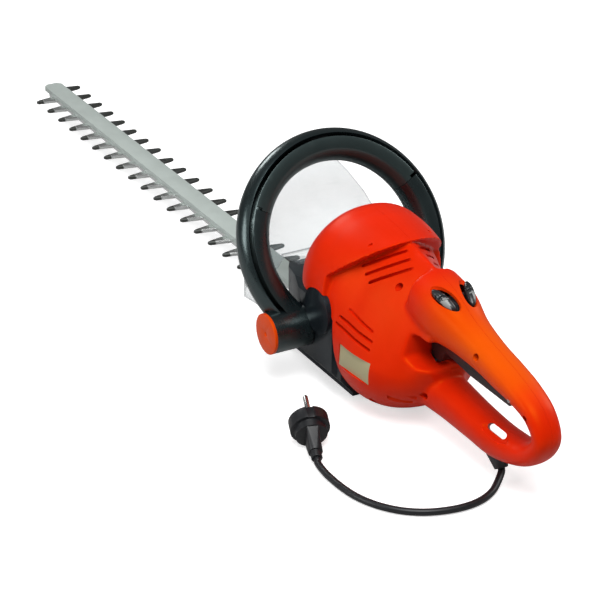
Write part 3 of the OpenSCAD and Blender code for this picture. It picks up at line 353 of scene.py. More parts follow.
def prism(name, outline, low, high, axis=1):
    """An outline pulled along an axis; for axis 1 the outline is in X and Z, for axis 2 in X and Y."""
    ring = [np.insert(np.array(p, float), axis, low) for p in outline]
    return loft(name, [ring, [p + (high - low) * np.eye(3)[axis] for p in ring]])


def block(name, x, y, z):
    """A box from its range along each axis."""
    return prism(name, [(x[0], z[0]), (x[1], z[0]), (x[1], z[1]), (x[0], z[1])], y[0], y[1])


def rod(name, centre, direction, radius, length, sides=32):
    """A round rod from the middle of its first end along a direction."""
    turn = np.array(Vector(direction).to_track_quat("Z", "Y").to_matrix())
    rings = []
    angles = np.linspace(0, 2 * math.pi, sides, endpoint=False)
    for at in (0, length):
        ring = np.stack([radius * np.cos(angles), radius * np.sin(angles), np.full(sides, at)], 1)
        rings.append(ring @ turn.T + np.array(centre, float))
    return loft(name, rings)


def ellipsoid(name, centre, radii, turn):
    """An egg shape with a radius for each axis, turned about X, then Y, then Z."""
    mesh = bpy.data.meshes.new(name)
    work = bmesh.new()
    bmesh.ops.create_uvsphere(work, u_segments=32, v_segments=20, radius=1)
    work.to_mesh(mesh)
    work.free()
    about_x, about_y, about_z = (Matrix.Rotation(a, 4, axis) for a, axis in zip(turn, "XYZ"))
    spin = about_z @ about_y @ about_x
    size = Matrix.Diagonal((*(r * MM for r in radii), 1))
    mesh.transform(Matrix.Translation(Vector(centre) * MM) @ spin @ size)
    return new_object(name, mesh)


def capsule(name, start, end, radius, reach, sides=12):
    """A slot cutter: a stadium between two points, pulled along reach."""
    start, end, reach = (np.array(v, float) for v in (start, end, reach))
    out = reach / np.linalg.norm(reach)
    run = end - start
    run = run - out * (run @ out)
    run /= np.linalg.norm(run)
    side = np.cross(out, run)
    ring = []
    for centre, first in ((start, 90), (end, -90)):
        for k in range(sides + 1):
            a = math.radians(first + 180 * k / sides)
            ring.append(centre + radius * (math.cos(a) * run + math.sin(a) * side))
    return loft(name, [ring, [p + reach for p in ring]])


def shade(thing, angle):
    """Smooth shading, with edges sharper than the angle kept."""
    thing.data.shade_smooth()
    thing.data.set_sharp_from_angle(angle=math.radians(angle))
    return thing


def dress(thing, body, finish, slot, *stood_for):
    """Gives a finished piece its material and its body, and hides the nodes that it stands for."""
    thing.data.materials.clear()
    thing.data.materials.append(finish.material)
    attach(thing, body)
    if stood_for:
        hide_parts(*stood_for)
    return thing


def softened(name, node, width):
    """A CAD node's shape with its sharp edges rounded over."""
    mesh = frame["nodes"][node].data.copy()
    mesh.name = name
    work = bmesh.new()
    work.from_mesh(mesh)
    bmesh.ops.remove_doubles(work, verts=work.verts, dist=2e-6)
    bmesh.ops.dissolve_limit(work, angle_limit=math.radians(0.6), verts=work.verts, edges=work.edges)
    work.to_mesh(mesh)
    work.free()
    made = new_object(name, mesh)
    made.parent = None
    modify(made, "BEVEL", width=width * MM, segments=3, limit_method="ANGLE", angle_limit=math.radians(30))
    return shade(made, 40)


# ---- cord -----------------------------------------------------------------
CORD_D = 6.5
CORD_ROUTE = [
    (-259.5, 0, 11), (-261.5, 1, 9), (-265, 5, 6.5), (-271, 12, 4.5), (-278, 21, 3.6), (-284, 33, 3.4),
    (-287, 46, 3.3), (-287, 60, 3.3), (-284, 75, 3.3), (-278, 90, 3.3), (-269, 103, 3.3),
    (-258, 113, 3.3), (-245, 121, 3.3), (-229, 127, 3.3), (-212, 130, 3.3), (-195, 131, 3.3),
    (-182, 131, 3.6), (-167.21, 129.22, 3.8), (-163.62, 128.03, 5.13), (-159.14, 126.53, 6.78),
]


def through(points, steps=6):
    """The points of a smooth curve through the given ones."""
    p = np.array(points, float)
    ends = np.vstack([2 * p[0] - p[1], p, 2 * p[-1] - p[-2]])
    path = []
    for i in range(1, len(ends) - 2):
        a, b, c, d = ends[i - 1:i + 3]
        for t in np.linspace(0, 1, steps, endpoint=False):
            bend = (2 * a - 5 * b + 4 * c - d) * t * t + (3 * b - a - 3 * c + d) * t ** 3
            path.append(0.5 * (2 * b + (c - a) * t + bend))
    return np.array(path + [p[-1]])


def make_cord():
    """The mains cord along its route, up to the plug at its far end."""
    path = through(CORD_ROUTE) * MM
    curve = bpy.data.curves.new("mains_cord", "CURVE")
    curve.dimensions = "3D"
    curve.bevel_depth = CORD_D * MM / 2
    curve.bevel_resolution = 5
    curve.use_fill_caps = True
    line = curve.splines.new("POLY")
    line.points.add(len(path) - 1)
    for point, at in zip(line.points, path):
        point.co = (*at, 1)
    line.use_smooth = True
    cord = new_object("mains_cord", curve)
    curve.materials.append(rubber_finish.material)
    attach(cord, "housing")
    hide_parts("cord")


plug = dress(softened("plug_moulding", "plug_body", 1.2), "housing", rubber_finish, "rubber", "plug_body")
pins = dress(softened("plug_contacts", "plug_pins", 0.4), "housing", steel_finish, "steel", "plug_pins")
make_cord()

# ---- motor housing --------------------------------------------------------
FAR = 400
WALL = 2.6
SEAM = 0.1
GRIP_W, GRIP_T = 16.5, 13
BODY_W, BODY_TOP, BELLY = 62, 165, 4
HOOD_W, HOOD_TOP, CASE_TOP = 65, 171, 98
# Distance behind the crank shaft, half width, top, bottom, widest level, squareness above and below.
BODY = [
    (30, BODY_W - 2, BODY_TOP - 2, 30, 88, 2.1, 2.6),
    (60, BODY_W, BODY_TOP, 12, 76, 1.9, 2.7),
    (85, BODY_W, BODY_TOP - 1, BELLY + 1, 64, 1.5, 2.6),
    (105, BODY_W - 1, BODY_TOP - 4, BELLY, 60, 1.36, 2.5),
    (125, BODY_W - 6, BODY_TOP - 7, BELLY + 4, 58, 1.26, 2.4),
    (145, BODY_W - 16, BODY_TOP - 11, BELLY + 14, 58, 1.2, 2.2),
    (162, BODY_W - 28, BODY_TOP - 15, 32, 62, 1.3, 2.0),
    (176, BODY_W - 38, BODY_TOP - 21, 56, 90, 1.6, 2.0),
]
HOOD = [
    (-6, HOOD_W - 25, HOOD_TOP - 45, CASE_TOP + 2, CASE_TOP + 3, 2.2, 2.2),
    (8, HOOD_W - 8, HOOD_TOP - 19, CASE_TOP - 2, CASE_TOP + 2, 2.2, 2.2),
    (26, HOOD_W - 1, HOOD_TOP - 2, CASE_TOP - 6, CASE_TOP, 2.2, 2.2),
    (50, HOOD_W - 1, HOOD_TOP, CASE_TOP - 6, CASE_TOP, 2.2, 2.2),
    (75, HOOD_W - 5, HOOD_TOP - 2, CASE_TOP - 6, CASE_TOP, 2.2, 2.2),
    (108, HOOD_W - 14, HOOD_TOP - 7, CASE_TOP - 6, CASE_TOP, 2.2, 2.2),
]
# Place along the handle, distance behind the crank shaft, height, half width, half thickness.
HANDLE = [
    (0, 140, 127, GRIP_W + 9.5, GRIP_T + 14),
    (1, 172, 121, GRIP_W + 9.5, GRIP_T + 13),
    (2, 203, 114, GRIP_W + 3, GRIP_T + 6),
    (3, 235, 108, GRIP_W, GRIP_T + 2),
    (4, 262, 103, GRIP_W, GRIP_T),
    (5, 287, 98, GRIP_W - 0.5, GRIP_T - 2.5),
    (6, 311, 88, GRIP_W - 2, GRIP_T - 4),
    (7, 322, 69, GRIP_W - 3, GRIP_T - 4.5),
    (8, 303, 47.5, GRIP_W - 1, GRIP_T - 3),
    (9, 262, 38, GRIP_W + 1, GRIP_T + 1),
    (10, 225, 38.5, GRIP_W + 1, GRIP_T + 2.5),
    (11, 185, 41, GRIP_W + 2, GRIP_T + 5),
    (12, 145, 43, GRIP_W + 6, GRIP_T + 7),
]
HANDLE_GAP = [
    (-152, 99), (-152, 78), (-162, 72), (-180, 69), (-194, 62), (-206, 55),
    (-262, 51), (-284, 57), (-299, 68), (-294, 82), (-284, 86), (-235, 94),
]


def along(table, at):
    """The values of a table of stations at a place between them, on a smooth curve."""
    t = np.array(table, float)
    slope = np.array([(t[min(i + 1, len(t) - 1)] - t[max(i - 1, 0)]) /
                      (t[min(i + 1, len(t) - 1), 0] - t[max(i - 1, 0), 0]) for i in range(len(t))])
    i = int(np.clip(np.searchsorted(t[:, 0], at) - 1, 0, len(t) - 2))
    h = t[i + 1, 0] - t[i, 0]
    u = (at - t[i, 0]) / h
    return ((2 * u ** 3 - 3 * u * u + 1) * t[i] + (u ** 3 - 2 * u * u + u) * h * slope[i]
            + (3 * u * u - 2 * u ** 3) * t[i + 1] + (u ** 3 - u * u) * h * slope[i + 1])[1:]


def egg(half_width, up, down, n_up, n_down, sides):
    """A ring round its widest level; it is squarer with a larger n, above and below."""
    a = np.radians(-90 + 360 * np.arange(sides) / sides)
    n = np.where(np.sin(a) < 0, n_down, n_up)
    wide = half_width * np.sign(np.cos(a)) * np.abs(np.cos(a)) ** (2 / n)
    high = np.sign(np.sin(a)) * np.abs(np.sin(a)) ** (2 / n) * np.where(np.sin(a) < 0, down, up)
    return np.stack([wide, high], 1)


def body_form(name, inset, step, sides=72):
    """The rounded body, drawn in by inset all round."""
    rings = []
    for back in np.arange(30 + inset, 176 - inset, step):
        w, top, low, level, n_up, n_down = along(BODY, back)
        ring = egg(w - inset, top - level - inset, level - low - inset, n_up, n_down, sides)
        rings.append([(-back, y, level + z) for y, z in ring])
    return loft(name, rings)


def behind_ridge(forward):
    """Everything behind the hood's ridge, drawn forward by a distance."""
    ridge = [(forward - 57, 0), (forward - 57, 123), (forward - 104, HOOD_TOP - 8),
             (forward - 130, HOOD_TOP + 14), (-FAR, HOOD_TOP + 14), (-FAR, 0)]
    return prism("ridge", ridge, -FAR, FAR)


def hood_form(name, inset, step, sides=72):
    """The dome over the gear case; its slanting rear edge stands proud of the body as a ridge."""
    rings = []
    for back in np.arange(-6 + inset, 108, step):
        w, top, low, level, n_up, n_down = along(HOOD, back)
        ring = egg(w - inset, top - level - inset, level - low, n_up, n_down, sides)
        rings.append([(-back, y, level + z) for y, z in ring])
    return combine(loft(name, rings), [behind_ridge(inset * 1.3)])


def handle_form(name, inset, step, sides=48):
    """The rear handle as one tube, out of the body's rear and back into it lower down."""
    rings = []
    for at in np.arange(inset * 0.02, 12, step):
        back, z, w, t = along(HANDLE, at)
        before, after = along(HANDLE, max(at - 0.05, 0)), along(HANDLE, min(at + 0.05, 12))
        run = after[:2] - before[:2]
        run /= np.linalg.norm(run)
        ring = egg(w - inset, t - inset, t - inset, 2.5, 2.5, sides)
        rings.append([(-back + run[1] * h, y, z + run[0] * h) for y, h in ring])
    return loft(name, rings)


def gap_prism(grow):
    """The handle's opening, made larger by grow."""
    p = np.array(HANDLE_GAP, float)
    ring = []
    for i, here in enumerate(p):
        u = here - p[i - 1]
        v = p[(i + 1) % len(p)] - here
        u, v = u / np.linalg.norm(u), v / np.linalg.norm(v)
        nu, nv = np.array([-u[1], u[0]]), np.array([-v[1], v[0]])
        ring.append(here - grow * (nu + nv) / (1 + nu @ nv) * GAP_TURN)
    return prism("gap", ring, -70, 70)


def winding(points):
    """1 for an outline that runs anticlockwise, -1 for one that runs clockwise."""
    p = np.array(points, float)
    q = np.roll(p, -1, 0)
    return math.copysign(1, (p[:, 0] * q[:, 1] - q[:, 0] * p[:, 1]).sum())


GAP_TURN = winding(HANDLE_GAP)


def outer_skin():
    """Body and handle flow into each other; the hood is added after, so that its edge stays crisp."""
    skin = combine(body_form("skin", 0, 2.5), [gap_prism(0)])
    skin = combine(skin, [handle_form("handle", 0, 0.05)], "UNION")
    modify(skin, "REMESH", mode="VOXEL", voxel_size=1.5 * MM)
    modify(skin, "SMOOTH", factor=0.5, iterations=10)
    skin = combine(skin, [hood_form("hood", 0, 2.5)], "UNION")
    modify(skin, "REMESH", mode="VOXEL", voxel_size=1.25 * MM)
    return modify(skin, "SMOOTH", factor=0.5, iterations=3)


# Distance behind the crank shaft, height, and how far off the seam the head sits.
SCREWS = [(123, 131.5, 13), (237, 112, 8), (309, 87, 8), (166, 42, 12), (118, 20, 30)]
SCREW_R, SCREW_HEAD_R = 1.75, 3.5
POST_R = 4.5
HOOK_R = 3.2
VENT_R = 1.6
LUMP_WALL = 1.8
PIN, PIN_SEAT = (-287, 94.5), 9
ACROSS = 80
BOSS_X, BOSS_Z, BOSS_R = -46, 84, 22


def rod_across(name, x, z, radius, sides):
    """A rod right across the housing."""
    return rod(name, (x, -ACROSS, z), (0, 1, 0), radius, 2 * ACROSS, sides)


def inner_hollow():
    """The room inside, without the screw posts and without what lies behind the hook slot and the vents."""
    hollow = combine(body_form("hollow", WALL, 6, 40), [gap_prism(WALL)])
    rooms = [hood_form("hood_hollow", WALL, 6, 40), handle_form("handle_hollow", WALL, 0.15, 32)]
    hollow = combine(hollow, rooms, "UNION")
    posts = [rod_across("post", -back, z, POST_R, 24) for back, z, seat in SCREWS]
    for start in (PIN_SEAT, -PIN_SEAT - ACROSS):
        posts.append(rod("post", (PIN[0], start, PIN[1]), (0, 1, 0), POST_R, ACROSS, 24))
    lumps = [hook_cutter(HOOK_R + LUMP_WALL), hook_pocket(2.4)] + vents(VENT_R + LUMP_WALL, LUMP_WALL)
    return combine(hollow, posts + lumps)


def hook_cutter(radius):
    """The slanting slot that the cord's loop is pushed through."""
    ends = [(-257, 11, 54), (-275, 11, 54), (-232, -22, 22), (-214, -22, 22)]
    work = bmesh.new()
    for end in ends:
        ball = bmesh.ops.create_icosphere(work, subdivisions=3, radius=radius * MM)
        bmesh.ops.translate(work, verts=ball["verts"], vec=Vector(end) * MM)
    bmesh.ops.convex_hull(work, input=work.verts)
    loose = [v for v in work.verts if not v.link_faces]
    bmesh.ops.delete(work, geom=loose, context="VERTS")
    mesh = bpy.data.meshes.new("hook")
    work.to_mesh(mesh)
    work.free()
    made = new_object("hook", mesh)
    return modify(made, "REMESH", mode="VOXEL", voxel_size=0.8 * MM)


LOCK_TURN = {side: (side * -0.3, math.radians(-22), side * 0.33) for side in (1, -1)}


def hook_pocket(grow):
    """The shallow oval dish round the slot's mouth."""
    return ellipsoid("hook_pocket", (-263, 12, 51.5), (20 + grow, 7 + grow, 4.6 + grow), (-0.5, 0, 0))


def lock_pocket(side):
    """The dish that a lock button's pad lies in."""
    return ellipsoid("pocket", (-180, side * 13, 145), (20, 8, 9), LOCK_TURN[side])


def vents(radius, deeper=0):
    """The three slots below the ridge and the three on the flank, on both sides."""
    up_slope = np.array((-0.646, 0, 0.763))
    slots = []
    for side in (1, -1):
        for k in range(3):
            start = np.array((-77.5 - 5.5 * k, side * (34.3 + 0.6 * k), 134 - 7 * k)) - deeper * up_slope
            end = np.array((-103 - 9 * k, side * (7 + 2.4 * k), 151.5 - 4 * k)) - deeper * up_slope
            slot = capsule("vent", start, end, radius, 30 * up_slope)
            slots.append(combine(slot, [behind_ridge(0)], "INTERSECT"))
        for x0, z0, x1, z1 in ((-87, 100, -118, 91), (-79, 91, -121, 82.5), (-76, 84, -121, 75)):
            start, end = (x0, side * (51 - deeper), z0), (x1, side * (45 - deeper), z1)
            slots.append(capsule("vent", start, end, radius, (0, side * 40, 0)))
    return slots


def vent_cutters():
    """The vents, and on each side two slots under the body and a dimple in the hood."""
    cutters = vents(VENT_R)
    for side in (1, -1):
        for i in range(2):
            start, end = (-140 - 14 * i, side * 42, 8), (-153 - 6 * i, side * 26, 8)
            cutters.append(capsule("vent", start, end, VENT_R, (0, 0, 32)))
        cutters.append(rod("dimple", (-85.5, side * 28.5, 158.5), (0, side, 0), 1.6, 60, 20))
    return cutters


def case_cutters():
    """Room for the gear case: its slanting rear edge, its side bosses and its rounded box."""
    rear = [(-84, -1), (-81, 29), (-75, 55), (-71, 84), (-57, CASE_TOP + 0.3)]
    front = [(FAR, CASE_TOP + 0.3), (FAR, -1)]
    room = block("case", (-78.3, 74), (-56.3, 56.3), (-9, CASE_TOP + 0.3))
    modify(room, "BEVEL", width=2.4 * MM, segments=3)
    bosses = rod_across("bosses", BOSS_X, BOSS_Z, BOSS_R + 0.4, 96)
    return [prism("case", rear + front, -FAR, FAR), bosses, room]


def label_cutter():
    """A shallow seat for the label on the left flank."""
    seat = block("label", (-21.2, 21.2), (0, 60), (-11.2, 11.2))
    place = Matrix.Translation(Vector((-105, BODY_W - 5.2, 55)) * MM)
    yaw, pitch = Matrix.Rotation(math.radians(9), 4, "Z"), Matrix.Rotation(math.radians(-5), 4, "Y")
    seat.data.transform(place @ yaw @ pitch)
    return seat


def housing():
    """The two halves of the shell, cut from one skin along the seam."""
    shell = outer_skin()
    tools = [inner_hollow()] + case_cutters() + vent_cutters()
    tools += [hook_cutter(HOOK_R), lock_pocket(1), lock_pocket(-1), label_cutter(), hook_pocket(0),
              block("trigger_slot", (PIN[0] - 7, -152), (-8.1, 8.1), (70, 101)),
              rod("boot_hole", (-251, 0, 18), (0, 0, 1), 7.6, 16)]
    for back, z, seat in SCREWS:
        tools.append(rod_across("bore", -back, z, SCREW_R, 16))
        tools.append(rod("bore", (-back, seat - 0.1, z), (0, 1, 0), SCREW_HEAD_R, 90, 24))
    combine(shell, tools)
    for side, name in ((1, "left"), (-1, "right")):
        half = new_object("shell_" + name, shell.data.copy())
        keep = (SEAM, FAR) if side > 0 else (-FAR, -SEAM)
        combine(half, [block("half", (-FAR, FAR), keep, (-10, FAR))], "INTERSECT")
        shade(half, 38)
        dress(half, "housing", shell_finish, "shell_orange", "housing_" + name)
    bpy.data.objects.remove(shell)


housing()

# ---- loop handle ----------------------------------------------------------
LOOP_CENTRE = np.array((18, 0, 115), float)
LEAN = math.radians(30)
UP_LOOP = np.array((math.sin(LEAN), 0, math.cos(LEAN)))
OUT_OF_LOOP = np.array((-math.cos(LEAN), 0, math.sin(LEAN)))
SIDE = np.array((0, 1, 0))
LOOP_R, TUBE_R = 92.2, 15.6
FOOT, LEVER_END = 138, 62


def loop_sweep(name, profile, start, end, step=1.5):
    """Sweeps a profile round the loop, as distances outward and to the rear; angles count from its top."""
    rings = []
    for angle in np.radians(np.linspace(start, end, max(2, int(abs(end - start) / step) + 1))):
        outward = math.cos(angle) * UP_LOOP + math.sin(angle) * SIDE
        rings.append([LOOP_CENTRE + (LOOP_R + a) * outward + b * OUT_OF_LOOP for a, b in profile])
    return loft(name, rings)


def tube_arc(start, end, radius, count):
    """Part of a profile for loop_sweep: an arc, in degrees from outward round to the rear."""
    return [(radius * math.cos(a), radius * math.sin(a)) for a in np.radians(np.linspace(start, end, count))]


GROOVE, BAND_START, BAND_END = 54, 70, 112
INNER_R = 12.6
LEVER_R = TUBE_R - 0.3
LEVER_GAP = 0.35


def band_profile(last, radius):
    """The flat band on the loop's rear face and the round part that follows it inwards."""
    return tube_arc(BAND_START, BAND_START + 2, radius, 2) + tube_arc(BAND_END, last, radius, 20) \
        + tube_arc(last, BAND_START, INNER_R, 20)


def loop_handle():
    """The front and rear halves, the rear's two side bands, and the lever between them."""
    front_profile = tube_arc(181, 360, TUBE_R, 40) + tube_arc(360, 181, INNER_R, 30)
    front = loop_sweep("loop_front", front_profile, -FOOT, FOOT)
    step = tube_arc(GROOVE, GROOVE, TUBE_R - 1.4, 1)
    rear_profile = tube_arc(1, GROOVE, TUBE_R, 24) + step + tube_arc(GROOVE, 1, INNER_R, 16)
    rear = loop_sweep("loop_rear", rear_profile, -FOOT, FOOT)
    sides = []
    for side in (1, -1):
        start = side * (LEVER_END + LEVER_GAP)
        sides.append(loop_sweep("loop_side", band_profile(180, LEVER_R), start, side * FOOT))
    lever = loop_sweep("switch_lever", band_profile(180, LEVER_R), -LEVER_END, LEVER_END)
    return front, rear, sides, lever


def join(first, others):
    """Adds other meshes to the first, as they are."""
    for other in others:
        mesh = other.data
        work = bmesh.new()
        work.from_mesh(first.data)
        work.from_mesh(mesh)
        work.to_mesh(first.data)
        work.free()
        bpy.data.objects.remove(other)
        bpy.data.meshes.remove(mesh)
    return first


HUB_X, HUB_Z, HUB_R = -17, 56, 19.5
HUB_SIDES = 96


def hub(side):
    """The drum at a foot of the loop: an open cup with a rounded rim."""
    # Distance from the middle, and radius.
    profile = [(60.0, 6), (60.0, HUB_R - 0.5), (60.6, HUB_R), (97.2, HUB_R), (98.0, HUB_R - 0.6),
               (98.0, 15.8), (63, 15.8), (63, 6)]
    rings = []
    for angle in np.radians(np.linspace(0, 360, HUB_SIDES, endpoint=False)):
        across, up = math.cos(angle), math.sin(angle)
        rings.append([(HUB_X + r * across, side * y, HUB_Z + r * up) for y, r in profile])
    return loft("drum", rings, closed=True)


def hub_space(side):
    """The room that a drum takes out of the loop's rear half."""
    return rod("space", (HUB_X, side * 59, HUB_Z), (0, side, 0), HUB_R + 0.1, 40, HUB_SIDES)


def under_loop():
    """The room between the drums, which the loop's ends stay out of."""
    return block("below", (-200, 200), (-60, 60), (0, 92))


def notch(side):
    """The small dark step at an end of the lever."""
    profile = [(-1, 11.5), (7, 11.5), (7, 17), (-1, 17)]
    return loop_sweep("notch", profile, side * (LEVER_END - 1.6), side * (LEVER_END + 0.2))


front, rear, side_bands, lever = loop_handle()
combine(lever, [notch(1), notch(-1)])
combine(front, [under_loop()])
modify(front, "BEVEL", width=0.4 * MM, segments=2, limit_method="ANGLE", angle_limit=math.radians(40))
combine(front, [hub(1), hub(-1)], "UNION")
for part in [rear] + side_bands:
    combine(part, [under_loop(), hub_space(1), hub_space(-1)])
join(rear, side_bands)
for thing in (front, rear, lever):
    shade(thing, 35)
dress(front, "housing", loop_finish, "black_gloss", "loop_handle_front")
dress(rear, "housing", loop_finish, "black_gloss", "loop_handle_rear")
dress(lever, "front_switch_bar", lever_finish, "black_plastic", "front_switch_bar")

# ---- pieces that follow their CAD shape -----------------------------------
RIM_SHARE = 0.03


def tint_rim(guard):
    """The guard's cut edges look darker than its faces: small faces take the second material."""
    guard.data.materials.append(guard_rim_finish.material)
    widest = max(face.area for face in guard.data.polygons)
    for face in guard.data.polygons:
        face.material_index = 0 if face.area > widest * RIM_SHARE else 1


HIGHLIGHT_BEHIND, HIGHLIGHT_ABOVE, HIGHLIGHT_OUTSIDE = -183, 136, 12.5


def lock_thumb(side, name):
    """A lock button with a rounded, ribbed pad in its pocket; the pad's outer rear flank is painted pale
    grey as a painted highlight.
    """
    pad = ellipsoid("pad", (-180.5, side * 13.3, 141), (14.5, 4.6, 4.2), LOCK_TURN[side])
    for x in (-188, -184, -180, -176):
        combine(pad, [capsule("rib", (x, side * 4, 145.5), (x, side * 20, 141), 0.5, (0, 0, 4))])
    thumb = softened("lock_thumb_" + name, "lock_button_" + name, 0.3)
    neck = block("neck", (-184, -173), sorted((side * 9, side * 13)), (134.5, 140))
    thumb = join(thumb, [pad, neck])
    dress(thumb, "lock_button_" + name, button_finish, "grey_plastic", "lock_button_" + name)
    thumb.data.materials.append(highlight_patch_finish.material)
    # Faces on the pad's outer rear flank take the pale grey of the painted highlight.
    for face in thumb.data.polygons:
        middle = face.center / MM
        if middle.x < HIGHLIGHT_BEHIND and middle.z > HIGHLIGHT_ABOVE and abs(middle.y) > HIGHLIGHT_OUTSIDE:
            face.material_index = 1
    return shade(thumb, 40)


for side, name in ((1, "left"), (-1, "right")):
    lock_thumb(side, name)

FOLLOWERS = [
    # piece, node, edge radius, body, finish, slot
    ("case_shell", "gear_case", 2.2, "housing", case_finish, "black_plastic"),
    ("case_floor", "bottom_cover", 0.8, "housing", case_finish, "black_plastic"),
    ("cap_left", "end_cap_left", 0.8, "housing", cap_finish, "cap_orange"),
    ("cap_right", "end_cap_right", 0.8, "housing", cap_finish, "cap_orange"),
    ("trigger_lever", "trigger", 1.6, "trigger", grip_finish, "black_plastic"),
    ("bare_label", "label_plate", 0.25, "housing", label_finish, "label"),
    ("cord_boot", "strain_relief", 0.5, "housing", rubber_finish, "rubber"),
    ("clear_guard", "guard", 0.5, "housing", guard_finish, "clear"),
    ("blade_bar", "support_bar", 1.4, "housing", bar_finish, "bar"),
]
for name, node, width, body, finish, slot in FOLLOWERS:
    piece = dress(softened(name, node, width), body, finish, slot, node)
    if node == "guard":
        tint_rim(piece)


# ---- blades ---------------------------------------------------------------
def row_tree():
    """Geometry nodes: one mesh, Count times, from Start by Step."""
    tree = bpy.data.node_groups.new("row", "GeometryNodeTree")
    for name, kind in (("Geometry", "Geometry"), ("Piece", "Object"), ("Count", "Int"),
                       ("Start", "Vector"), ("Step", "Vector"), ("Finish", "Material")):
        tree.interface.new_socket(name, in_out="INPUT", socket_type="NodeSocket" + kind)
    tree.interface.new_socket("Geometry", in_out="OUTPUT", socket_type="NodeSocketGeometry")
    nodes, links = tree.nodes, tree.links
    given, out = nodes.new("NodeGroupInput"), nodes.new("NodeGroupOutput")
    line = nodes.new("GeometryNodeMeshLine")
    piece = nodes.new("GeometryNodeObjectInfo")
    spread = nodes.new("GeometryNodeInstanceOnPoints")
    real = nodes.new("GeometryNodeRealizeInstances")
    paint = nodes.new("GeometryNodeSetMaterial")
    both = nodes.new("GeometryNodeJoinGeometry")
    links.new(given.outputs["Count"], line.inputs["Count"])
    links.new(given.outputs["Start"], line.inputs["Start Location"])
    links.new(given.outputs["Step"], line.inputs["Offset"])
    links.new(given.outputs["Piece"], piece.inputs["Object"])
    links.new(line.outputs[0], spread.inputs["Points"])
    links.new(piece.outputs["Geometry"], spread.inputs["Instance"])
    links.new(spread.outputs[0], real.inputs[0])
    links.new(given.outputs["Geometry"], both.inputs[0])
    links.new(real.outputs[0], both.inputs[0])
    links.new(both.outputs[0], paint.inputs["Geometry"])
    links.new(given.outputs["Finish"], paint.inputs["Material"])
    links.new(paint.outputs[0], out.inputs[0])
    return tree


ROW = row_tree()


def add_row(thing, piece, count, start, step, finish):
    """Adds a row of copies of a piece to a mesh, and drops the piece."""
    modifier = thing.modifiers.new("row", "NODES")
    modifier.node_group = ROW
    values = {"Piece": piece, "Count": count, "Finish": finish.material,
              "Start": [v * MM for v in start], "Step": [v * MM for v in step]}
    for item in ROW.interface.items_tree:
        if item.in_out == "INPUT" and item.name in values:
            modifier[item.identifier] = values[item.name]
    settle(thing)
    bpy.data.objects.remove(piece)
    return thing


PITCH, TEETH, FIRST, STAGGER = 33, 18, 139, 24.5
BLADE_T, RUN, CUT_Z = 2.2, 0.05, 30
BOLTS, BOLT_HEAD_R, SLOT_HALF, SLOT_R = 6, 4.2, 8.2, 4


def tooth(side, low, high, bevel_up):
    """A blade tooth: broad at the root, with ground flanks on its outer face and a blunt tip."""
    outline = [(-7.5, 7), (7.5, 7), (2.3, 31.9), (1.15, 33.4), (-1.15, 33.4), (-2.3, 31.9)]
    inset = [(-6.0, 7), (6.0, 7), (1.2, 30.4), (0.6, 31.4), (-0.6, 31.4), (-1.2, 30.4)]
    inner, outer = (low, high) if bevel_up else (high, low)
    levels = [(outline, inner), (outline, (low + high) / 2), (inset, outer)]
    return loft("tooth", [[(x, side * y, z) for x, y in ring] for ring, z in levels])


def blade(name, low, bevel_up, node):
    """A blade: a spine with slots for the bolts, a yoke round the eccentric, and teeth on both sides."""
    high = low + BLADE_T
    spine = prism(name, [(34, -10), (718, -10), (718, 10), (34, 10)], low + 0.05, high - 0.05, axis=2)
    yoke = prism("yoke", [(-37, -29), (37, -29), (37, 29), (-37, 29)], low + 0.05, high - 0.05, axis=2)
    window = prism("window", [(-30, -22.5), (30, -22.5), (30, 22.5), (-30, 22.5)], low - 1, high + 1, axis=2)
    combine(spine, [yoke], "UNION")
    combine(spine, [window])
    for x in bolt_places():
        start, end = (x - SLOT_HALF, 0, low - 1), (x + SLOT_HALF, 0, low - 1)
        combine(spine, [capsule("slot", start, end, SLOT_R, (0, 0, 5))])
    for side, first in ((1, FIRST), (-1, FIRST + STAGGER)):
        add_row(spine, tooth(side, low, high, bevel_up), TEETH, (first, 0, 0), (PITCH, 0, 0), blade_finish)
    shade(spine, 25)
    return dress(spine, node, blade_finish, "steel", node)


def bolt_places():
    """Where the blade bolts stand along the blade."""
    low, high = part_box("blade_bolts")
    return np.linspace(low.x / MM + BOLT_HEAD_R, high.x / MM - BOLT_HEAD_R, BOLTS)


blade("cutter_upper", CUT_Z + RUN, True, "upper_blade")
blade("cutter_lower", CUT_Z - RUN - BLADE_T, False, "lower_blade")

# ---- the nodes that show as they are --------------------------------------
PLAIN = {
    screw_finish: ("housing_screws", "guard_screws", "case_screws", "blade_bolts"),
    steel_finish: ("trigger_pin", "handle_bolts", "gear_bearings", "armature_shaft", "motor_bearings",
                   "motor_screws", "brush_springs"),
    inner_finish: ("switch_cradle", "rear_switch", "capacitor", "cord_clamp", "front_switch", "fan",
                   "brushes"),
    brass_finish: ("blade_guides", "brush_holders"),
    iron_finish: ("drive_gear", "armature_core", "stator"),
    copper_finish: ("armature_windings", "commutator", "field_coils"),
    casting_finish: ("bearing_plate", "motor_bracket"),
}
for finish, names in PLAIN.items():
    for name in names:
        node = frame["nodes"][name]
        node.data.materials.clear()
        node.data.materials.append(finish.material)


# ---- floor and light ------------------------------------------------------
FLOOR_HALF, FLOOR_Z = 6000, -0.4


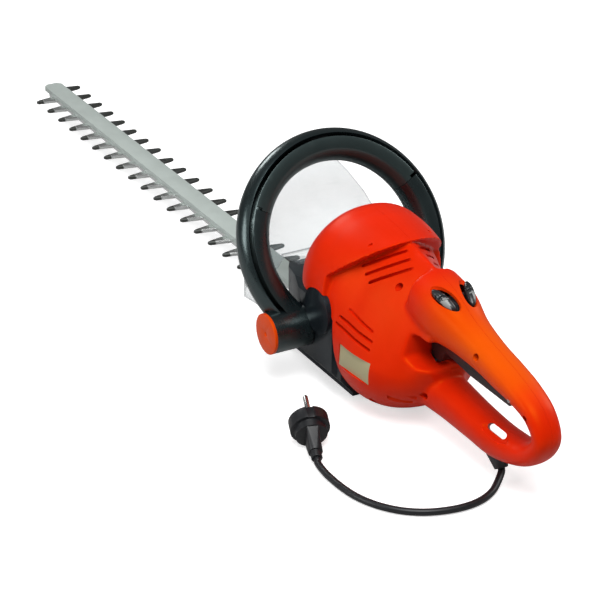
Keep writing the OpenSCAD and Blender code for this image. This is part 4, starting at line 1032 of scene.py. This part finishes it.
def floor():
    """A pale floor that the camera sees white; it is greyer for the light that it throws back."""
    finish = Finish("floor_paint", Roughness=0.9)
    path = finish.add("ShaderNodeLightPath", {}, {})
    seen = Value(finish, path.outputs["Is Camera Ray"])
    finish.set(Base_Color=finish.blend(seen, (0.45, 0.45, 0.45), (0.80, 0.80, 0.80)))
    glow = finish.add("ShaderNodeEmission", {}, {"Color": (1, 1, 1), "Strength": seen * 0.6})
    total = finish.add("ShaderNodeAddShader", {}, {0: finish.shader.outputs[0], 1: glow.outputs[0]})
    finish.feed(finish.out.inputs["Surface"], total.outputs[0])
    corners = [(FLOOR_HALF * x, FLOOR_HALF * y, FLOOR_Z) for x, y in ((-1, -1), (1, -1), (1, 1), (-1, 1))]
    ground = from_points("floor", corners, [(0, 1, 2, 3)])
    ground.data.materials.append(finish.material)


def world():
    """Soft light all round, and white behind the object."""
    made = bpy.data.worlds.new("studio")
    made.use_nodes = True
    nodes, links = made.node_tree.nodes, made.node_tree.links
    nodes.clear()
    path = nodes.new("ShaderNodeLightPath")
    seen = nodes.new("ShaderNodeMath")
    seen.operation = "MAXIMUM"
    links.new(path.outputs["Is Camera Ray"], seen.inputs[0])
    links.new(path.outputs["Is Transmission Ray"], seen.inputs[1])
    soft, white = nodes.new("ShaderNodeBackground"), nodes.new("ShaderNodeBackground")
    soft.inputs["Color"].default_value = (1, 1, 1, 1)
    soft.inputs["Strength"].default_value = 0.12
    white.inputs["Strength"].default_value = 1.0
    white.inputs["Color"].default_value = (1, 1, 1, 1)
    mix, out = nodes.new("ShaderNodeMixShader"), nodes.new("ShaderNodeOutputWorld")
    links.new(seen.outputs[0], mix.inputs[0])
    links.new(soft.outputs[0], mix.inputs[1])
    links.new(white.outputs[0], mix.inputs[2])
    links.new(mix.outputs[0], out.inputs[0])
    scene.world = made


def lamp(name, place, target, size, watts):
    """A square lamp that faces its target; places and size in metres."""
    light = bpy.data.lights.new(name, "AREA")
    light.size = size
    light.energy = watts
    made = bpy.data.objects.new(name, light)
    made.location = place
    made.rotation_euler = (Vector(place) - Vector(target)).to_track_quat("Z", "Y").to_euler()
    scene.collection.objects.link(made)


floor()
world()
lamp("key", (-0.9, 0.5, 2.0), (0, 0, 0.08), 1.2, 42)
lamp("left", (0.2, 1.9, 0.9), (0, 0, 0.1), 0.8, 12)
lamp("right", (-0.2, -1.7, 1.2), (0, 0, 0.1), 0.8, 12)
lamp("front", (1.9, 0.2, 1.2), (0.2, 0, 0.1), 0.6, 10)
scene.view_settings.view_transform = "Standard"
